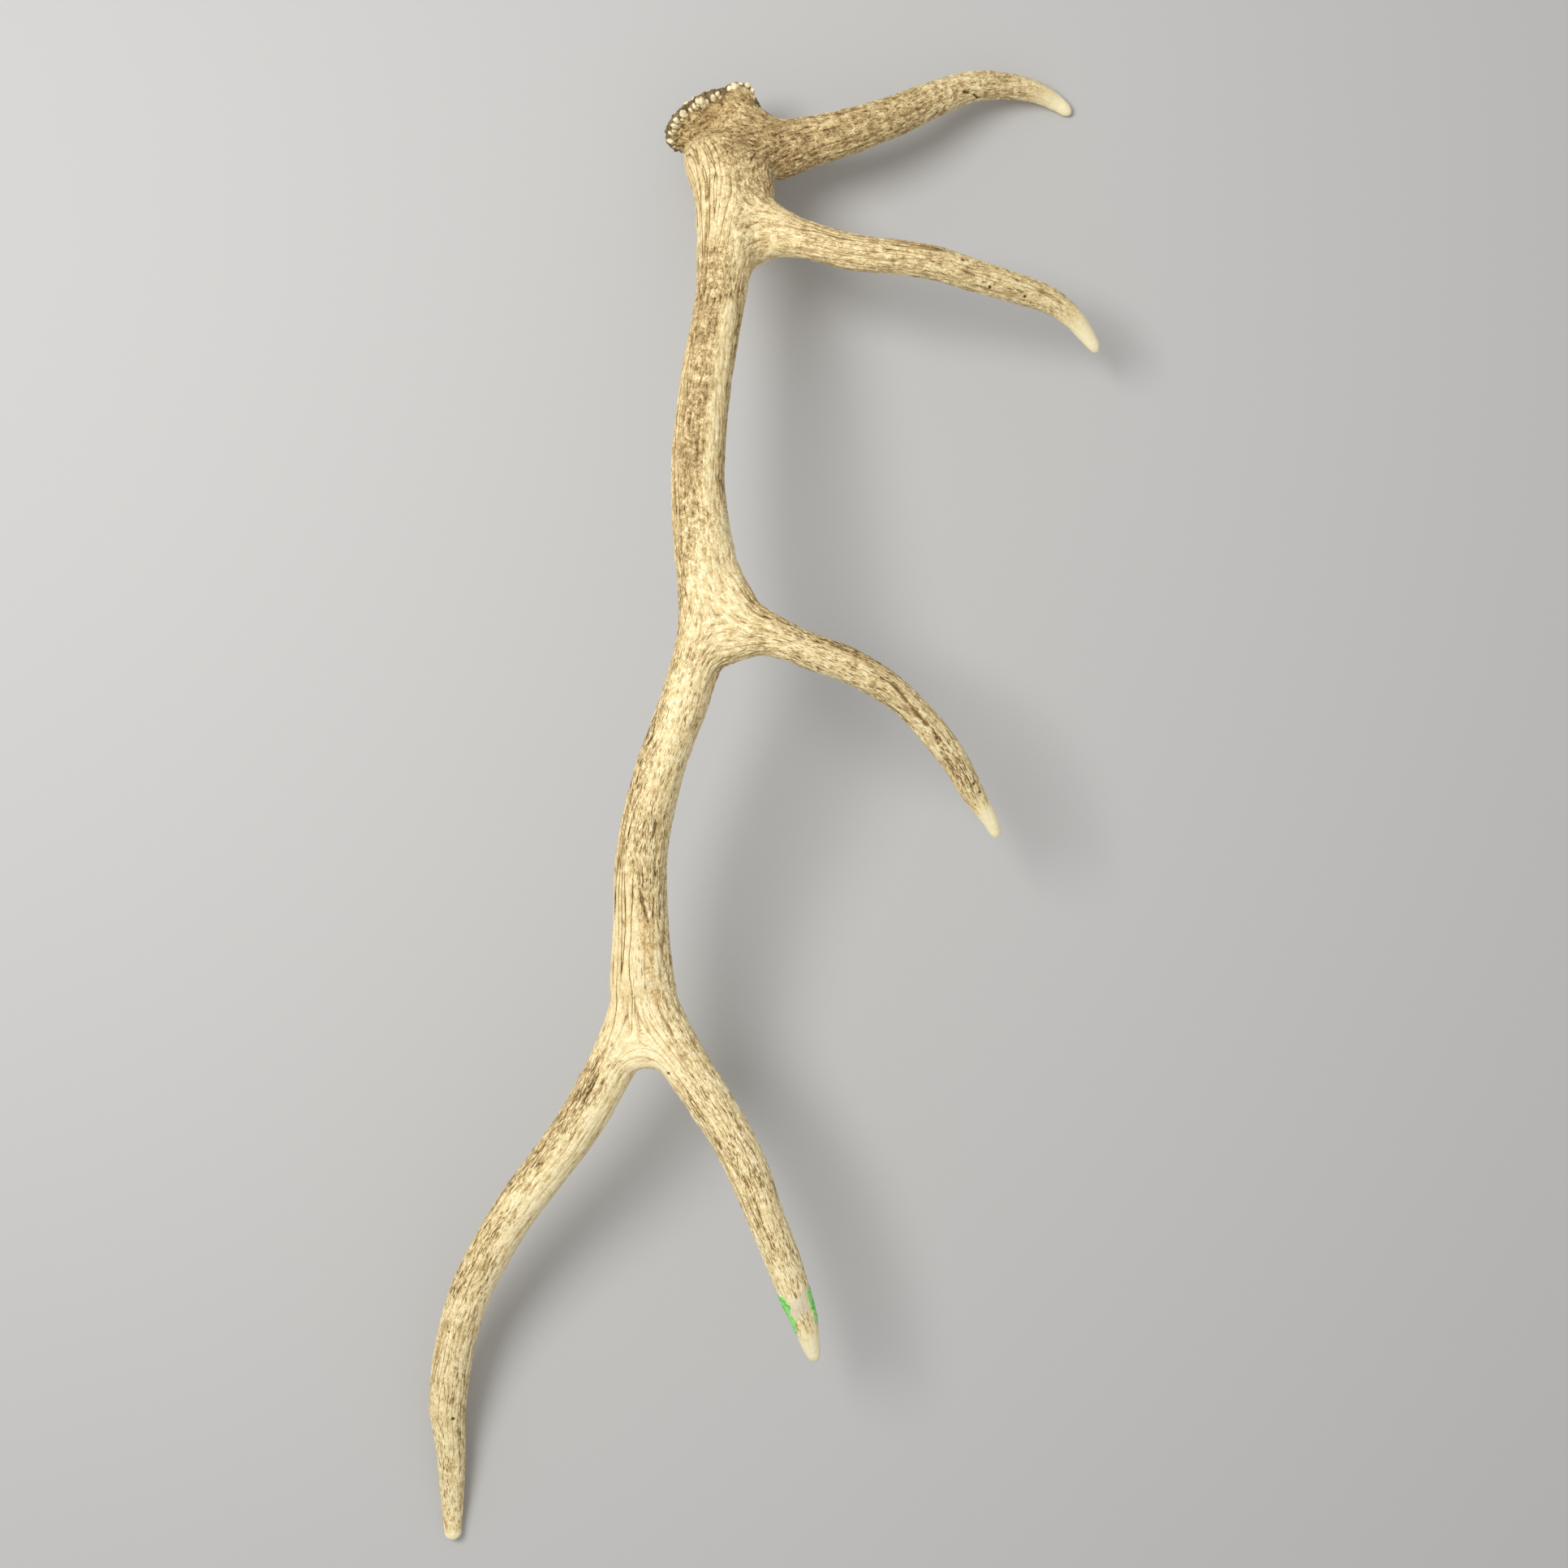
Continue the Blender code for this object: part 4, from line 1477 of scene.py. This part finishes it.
def dash_stain(tree, grain, fine):
    """Short dark flecks along the grain, in clusters."""
    flecks = stored(tree, "fleck_cover")
    dash = scaled_sum(tree, streaks(tree, grain, 1050.0, 0.7), (-0.25, stored(tree, "vein")),
                      (0.35, stored(tree, "cluster")), (0.35, fine), (1.0, flecks))
    return product(tree, ramp(tree, dash, 1.25, 2.25), ramp(tree, flecks, 0.0, 0.3))


def stain_group():
    """How deeply old bone is stained, with painted shade in the hollows of its relief, from 0 on
    the rubbed ridges to 1 in the dark flecks.
    """
    group, _, end = new_group("Bone stain and shade", (), (
        ("Depth", "NodeSocketFloat"), ("Grit", "NodeSocketFloat")))
    grain = grain_group()
    fine = signed_noise(group, 900.0)
    bumps = stored(group, "pebble_cover")
    fade = ramp(group, signed_noise(group, 110.0), -0.5, 0.1, 0.55, 1.0)
    lines = product(group, groove_stain(group, fine, fade), STAINS["groove"])
    for kind, stain in (("outline", outline_stain(group, grain, fine, fade, bumps)),
                        ("dash", dash_stain(group, grain, fine))):
        lines = maths(group, "MAXIMUM", lines, product(group, stain, STAINS[kind]))

    fibre = streaks(group, grain, 1500.0, 0.45)
    vein = ramp(group, scaled_sum(group, stored(group, "vein"), (0.5, fibre)), -1.6, 0.0, 1.0, 0.0)
    pebble = ramp(group, scaled_sum(group, stored(group, "pebble"), (0.4, fibre)),
                  -0.9, 0.4, 1.0, 0.0)
    # Painted shade: the bone darkens in the hollows of its relief.
    hollow_shade = ramp(group, stored(group, "hollow_shade"), 0.0, 0.4)
    clouds = product(group, signed_noise(group, 170.0, 4.0),
                     maths(group, "MULTIPLY_ADD", bumps, 0.50, 0.14))
    depth = scaled_sum(group, product(group, stored(group, "tint"), STAINS["tint"]),
                       (STAINS["patch"], stored(group, "patch")), (1.0, lines),
                       (STAINS["vein"], vein), (STAINS["pebble"], product(group, pebble, bumps)),
                       (STAINS["hollow_shade"], hollow_shade), (STAINS["fibre"], fibre),
                       (STAINS["grit"], fine), (1.0, clouds))
    depth = product(group, depth, maths(group, "SUBTRACT", 1.0, stored(group, "tip")))
    feed(group, end.inputs["Depth"], maths(group, "MAXIMUM", depth, stored(group, "mark")))
    feed(group, end.inputs["Grit"], fine)
    return group


def opaque(colour):
    return (*colour, 1.0)


def bone_group(stain, colours):
    """Colour, roughness and fine height of weathered antler bone."""
    inputs = [(name.title(), "NodeSocketColor", opaque(getattr(colours, name)))
              for name in COLOURS]
    group, start, end = new_group("Weathered bone", inputs, (
        ("Color", "NodeSocketColor"), ("Roughness", "NodeSocketFloat"),
        ("Height", "NodeSocketFloat")))
    marks = add(group, "ShaderNodeGroup", node_tree=stain).outputs
    colour = start.outputs["Ivory"]
    for name, (low, high) in zip(COLOURS[1:], STAIN_STEPS):
        share = ramp(group, marks["Depth"], low, high)
        colour = mix(group, share, colour, start.outputs[name.title()])
    feed(group, end.inputs["Color"], colour)
    rough = ramp(group, marks["Depth"], 0.0, 0.6, 0.42, 0.75)
    feed(group, end.inputs["Roughness"], rough)
    height = maths(group, "MULTIPLY_ADD", marks["Depth"], -1.0, product(group, marks["Grit"], 0.15))
    feed(group, end.inputs["Height"], height)
    return group


def bone_material(name, group):
    """A material of the bone group; returns it, the group node and its Principled shader."""
    material = bpy.data.materials.new(name)
    material.use_nodes = True
    tree = material.node_tree
    shader = tree.nodes["Principled BSDF"]
    bone = add(tree, "ShaderNodeGroup", node_tree=group)
    bump = add(tree, "ShaderNodeBump")
    bump.inputs["Strength"].default_value = BUMP_STRENGTH
    bump.inputs["Distance"].default_value = BUMP_DEPTH * MM
    feed(tree, bump.inputs["Height"], bone.outputs["Height"])
    feed(tree, shader.inputs["Base Color"], bone.outputs["Color"])
    feed(tree, shader.inputs["Roughness"], bone.outputs["Roughness"])
    feed(tree, shader.inputs["Normal"], bump.outputs["Normal"])
    shader.inputs["Specular IOR Level"].default_value = SPECULAR_LEVEL
    return material, bone, shader


def base_bone(name, group, colours):
    """The base: its pearls are rubbed pale over a dark crust, with painted shade in the hollows
    between them, and its seat is bare and rough.
    """
    material, bone, shader = bone_material(name, group)
    tree = material.node_tree
    dark, tan = opaque(colours.dark), opaque(colours.tan)
    ragged = signed_noise(tree, 330.0)
    colour = mix(tree, product(tree, stored(tree, "rim"), 0.8), bone.outputs["Color"], dark)
    pearl = scaled_sum(tree, stored(tree, "pearl"), (0.12, ragged))
    crust = mix(tree, ramp(tree, ragged, -0.3, 0.5), dark, tan)
    # Painted shade: the crust between the pearls turns dark in the hollows.
    crust = mix(tree, ramp(tree, stored(tree, "hollow_shade"), -0.05, 0.25), crust, dark)
    colour = mix(tree, ramp(tree, pearl, 0.10, 0.38, 0.0, 0.9), colour, crust)
    rubbed = product(tree, ramp(tree, pearl, 0.16, 0.40, 0.0, 0.9), stored(tree, "pearl_pale"))
    colour = mix(tree, rubbed, colour, opaque(colours.ivory))
    colour = mix(tree, product(tree, stored(tree, "seat"), 0.6), colour, tan)
    feed(tree, shader.inputs["Base Color"], colour)
    return material


def beam_bone(name, group, colours):
    """The beam: a rust stain runs down the upper length."""
    material, bone, shader = bone_material(name, group)
    tree = material.node_tree
    share = product(tree, stored(tree, "rust"),
                    ramp(tree, noise(tree, 420.0, 3.0, 0.65), 0.46, 0.62, 0.05, 0.85))
    colour = mix(tree, share, bone.outputs["Color"], opaque(colours.rust))
    feed(tree, shader.inputs["Base Color"], colour)
    return material


def tine_bone(name, group, colours):
    """The tines: the mended tip of one has pale filler and bright residue on its sides."""
    material, bone, shader = bone_material(name, group)
    tree = material.node_tree
    colour = mix(tree, product(tree, stored(tree, "filler"), 0.75), bone.outputs["Color"],
                 opaque(colours.filler))
    residue = stored(tree, "residue")
    smear = mix(tree, ramp(tree, noise(tree, 300.0), 0.48, 0.62), opaque(colours.residue),
                opaque(colours.smear))
    colour = mix(tree, ramp(tree, residue, *RESIDUE_EDGE), colour, smear)
    feed(tree, shader.inputs["Base Color"], colour)
    rough = ramp(tree, residue, *RESIDUE_EDGE, bone.outputs["Roughness"], RESIDUE_ROUGHNESS)
    feed(tree, shader.inputs["Roughness"], rough)
    return material


FINISHES = {"base_bone": ("weathered_base", base_bone), "beam_bone": ("weathered_beam", beam_bone),
            "tine_bone": ("weathered_tine", tine_bone)}


def finish_for(slot, colours):
    """The slot's material, made once."""
    name, finish = FINISHES[slot]
    if name in bpy.data.materials:
        return bpy.data.materials[name]
    group = bpy.data.node_groups.get("Weathered bone") or bone_group(stain_group(), colours)
    return finish(name, group, colours)


# ---------------------------------------------------------------- pieces and stage

def dress(piece, colours):
    """Turn a grown length into the object that stands for its node."""
    mesh = bpy.data.meshes.get(work_name(piece))
    if mesh is None:
        raise RuntimeError("the antler has not been grown yet: run Grow antler first")
    slot = PIECES[piece][1]
    name = piece + "_bone"
    mesh.name = name
    mesh.materials.append(finish_for(slot, colours))
    obj = place_object(name, mesh)
    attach(obj, "root")
    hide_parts(piece)


def studio_floor(studio):
    material = bpy.data.materials.new("studio_floor")
    material.use_nodes = True
    shader = material.node_tree.nodes["Principled BSDF"]
    shader.inputs["Base Color"].default_value = opaque(studio.floor)
    shader.inputs["Roughness"].default_value = FLOOR_ROUGHNESS
    bm = bmesh.new()
    bmesh.ops.create_grid(bm, x_segments=1, y_segments=1, size=FLOOR_HALF_SIZE)
    mesh = as_mesh(bm, "floor")
    mesh.materials.append(material)
    place_object("floor", mesh)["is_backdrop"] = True


def soft_light(power):
    """The large round light that hangs over the antler's upper left."""
    data = bpy.data.lights.new("key", "AREA")
    data.shape = "DISK"
    data.size = KEY_SIZE
    data.energy = power
    light = place_object("key", data)
    light.location = KEY_PLACE
    aim = Vector(KEY_TARGET) - Vector(KEY_PLACE)
    light.rotation_euler = aim.to_track_quat("-Z", "Y").to_euler()


def set_stage(studio):
    """Floor, soft light and the camera that looks straight down."""
    studio_floor(studio)
    soft_light(studio.key)
    world = bpy.data.worlds.new("studio")
    world.use_nodes = True
    background = world.node_tree.nodes["Background"]
    background.inputs["Color"].default_value = (1.0, 1.0, 1.0, 1.0)
    background.inputs["Strength"].default_value = studio.fill
    scene = bpy.context.scene
    scene.world = world
    scene.view_settings.view_transform = "Standard"
    data = bpy.data.cameras.new("camera")
    data.sensor_width = SENSOR_WIDTH
    data.lens = studio.lens
    scene.camera = place_object("camera", data)
    scene.camera.location = (*CAMERA_OVER, studio.camera_height)


class ANTLER_OT_grow(bpy.types.Operator):
    """Grow the antler's surface with its relief, and part it at its forks"""

    bl_idname = "antler.grow"
    bl_label = "Grow antler"

    def execute(self, context):
        grow(context.scene.antler_sizes)
        return {"FINISHED"}


class ANTLER_OT_base(bpy.types.Operator):
    """Make the burr with its pearls and the foot of the beam"""

    bl_idname = "antler.base"
    bl_label = "Burr and base"

    def execute(self, context):
        dress("burr_and_base", context.scene.antler_colours)
        return {"FINISHED"}


class ANTLER_OT_beams(bpy.types.Operator):
    """Make the two lengths of the beam"""

    bl_idname = "antler.beams"
    bl_label = "Beam lengths"

    def execute(self, context):
        for piece in ("lower_beam", "upper_beam"):
            dress(piece, context.scene.antler_colours)
        return {"FINISHED"}


class ANTLER_OT_tines(bpy.types.Operator):
    """Make the five tines"""

    bl_idname = "antler.tines"
    bl_label = "Tines"

    def execute(self, context):
        for piece in ("brow_tine", "bez_tine", "trez_tine", "front_fork_tine", "rear_fork_tine"):
            dress(piece, context.scene.antler_colours)
        return {"FINISHED"}


class ANTLER_OT_stage(bpy.types.Operator):
    """Set the floor, the soft light and the camera"""

    bl_idname = "antler.stage"
    bl_label = "Studio stage"

    def execute(self, context):
        set_stage(context.scene.antler_studio)
        return {"FINISHED"}


class ANTLER_PT_sidebar(bpy.types.Panel):
    """Lists the antler's operators and their settings."""

    bl_label = "Antler"
    bl_idname = "ANTLER_PT_sidebar"
    bl_space_type = "VIEW_3D"
    bl_region_type = "UI"
    bl_category = "Antler"

    def draw(self, context):
        for group in ("antler_sizes", "antler_colours", "antler_studio"):
            settings = getattr(context.scene, group)
            box = self.layout.box()
            for name in settings.__annotations__:
                box.prop(settings, name)
        for operator in OPERATORS:
            self.layout.operator(operator.bl_idname)


SETTINGS = {"antler_sizes": AntlerSizes, "antler_colours": AntlerColours,
            "antler_studio": AntlerStudio}
OPERATORS = (ANTLER_OT_grow, ANTLER_OT_base, ANTLER_OT_beams, ANTLER_OT_tines, ANTLER_OT_stage)
CLASSES = (*SETTINGS.values(), *OPERATORS, ANTLER_PT_sidebar)


def register():
    for kind in CLASSES:
        bpy.utils.register_class(kind)
    for name, kind in SETTINGS.items():
        setattr(bpy.types.Scene, name, PointerProperty(type=kind))


def unregister():
    for name in SETTINGS:
        delattr(bpy.types.Scene, name)
    for kind in reversed(CLASSES):
        bpy.utils.unregister_class(kind)


def main():
    register()
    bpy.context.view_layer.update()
    bpy.ops.antler.grow()
    bpy.ops.antler.base()
    bpy.ops.antler.beams()
    bpy.ops.antler.tines()
    bpy.ops.antler.stage()


if __name__ == "__main__":
    main()
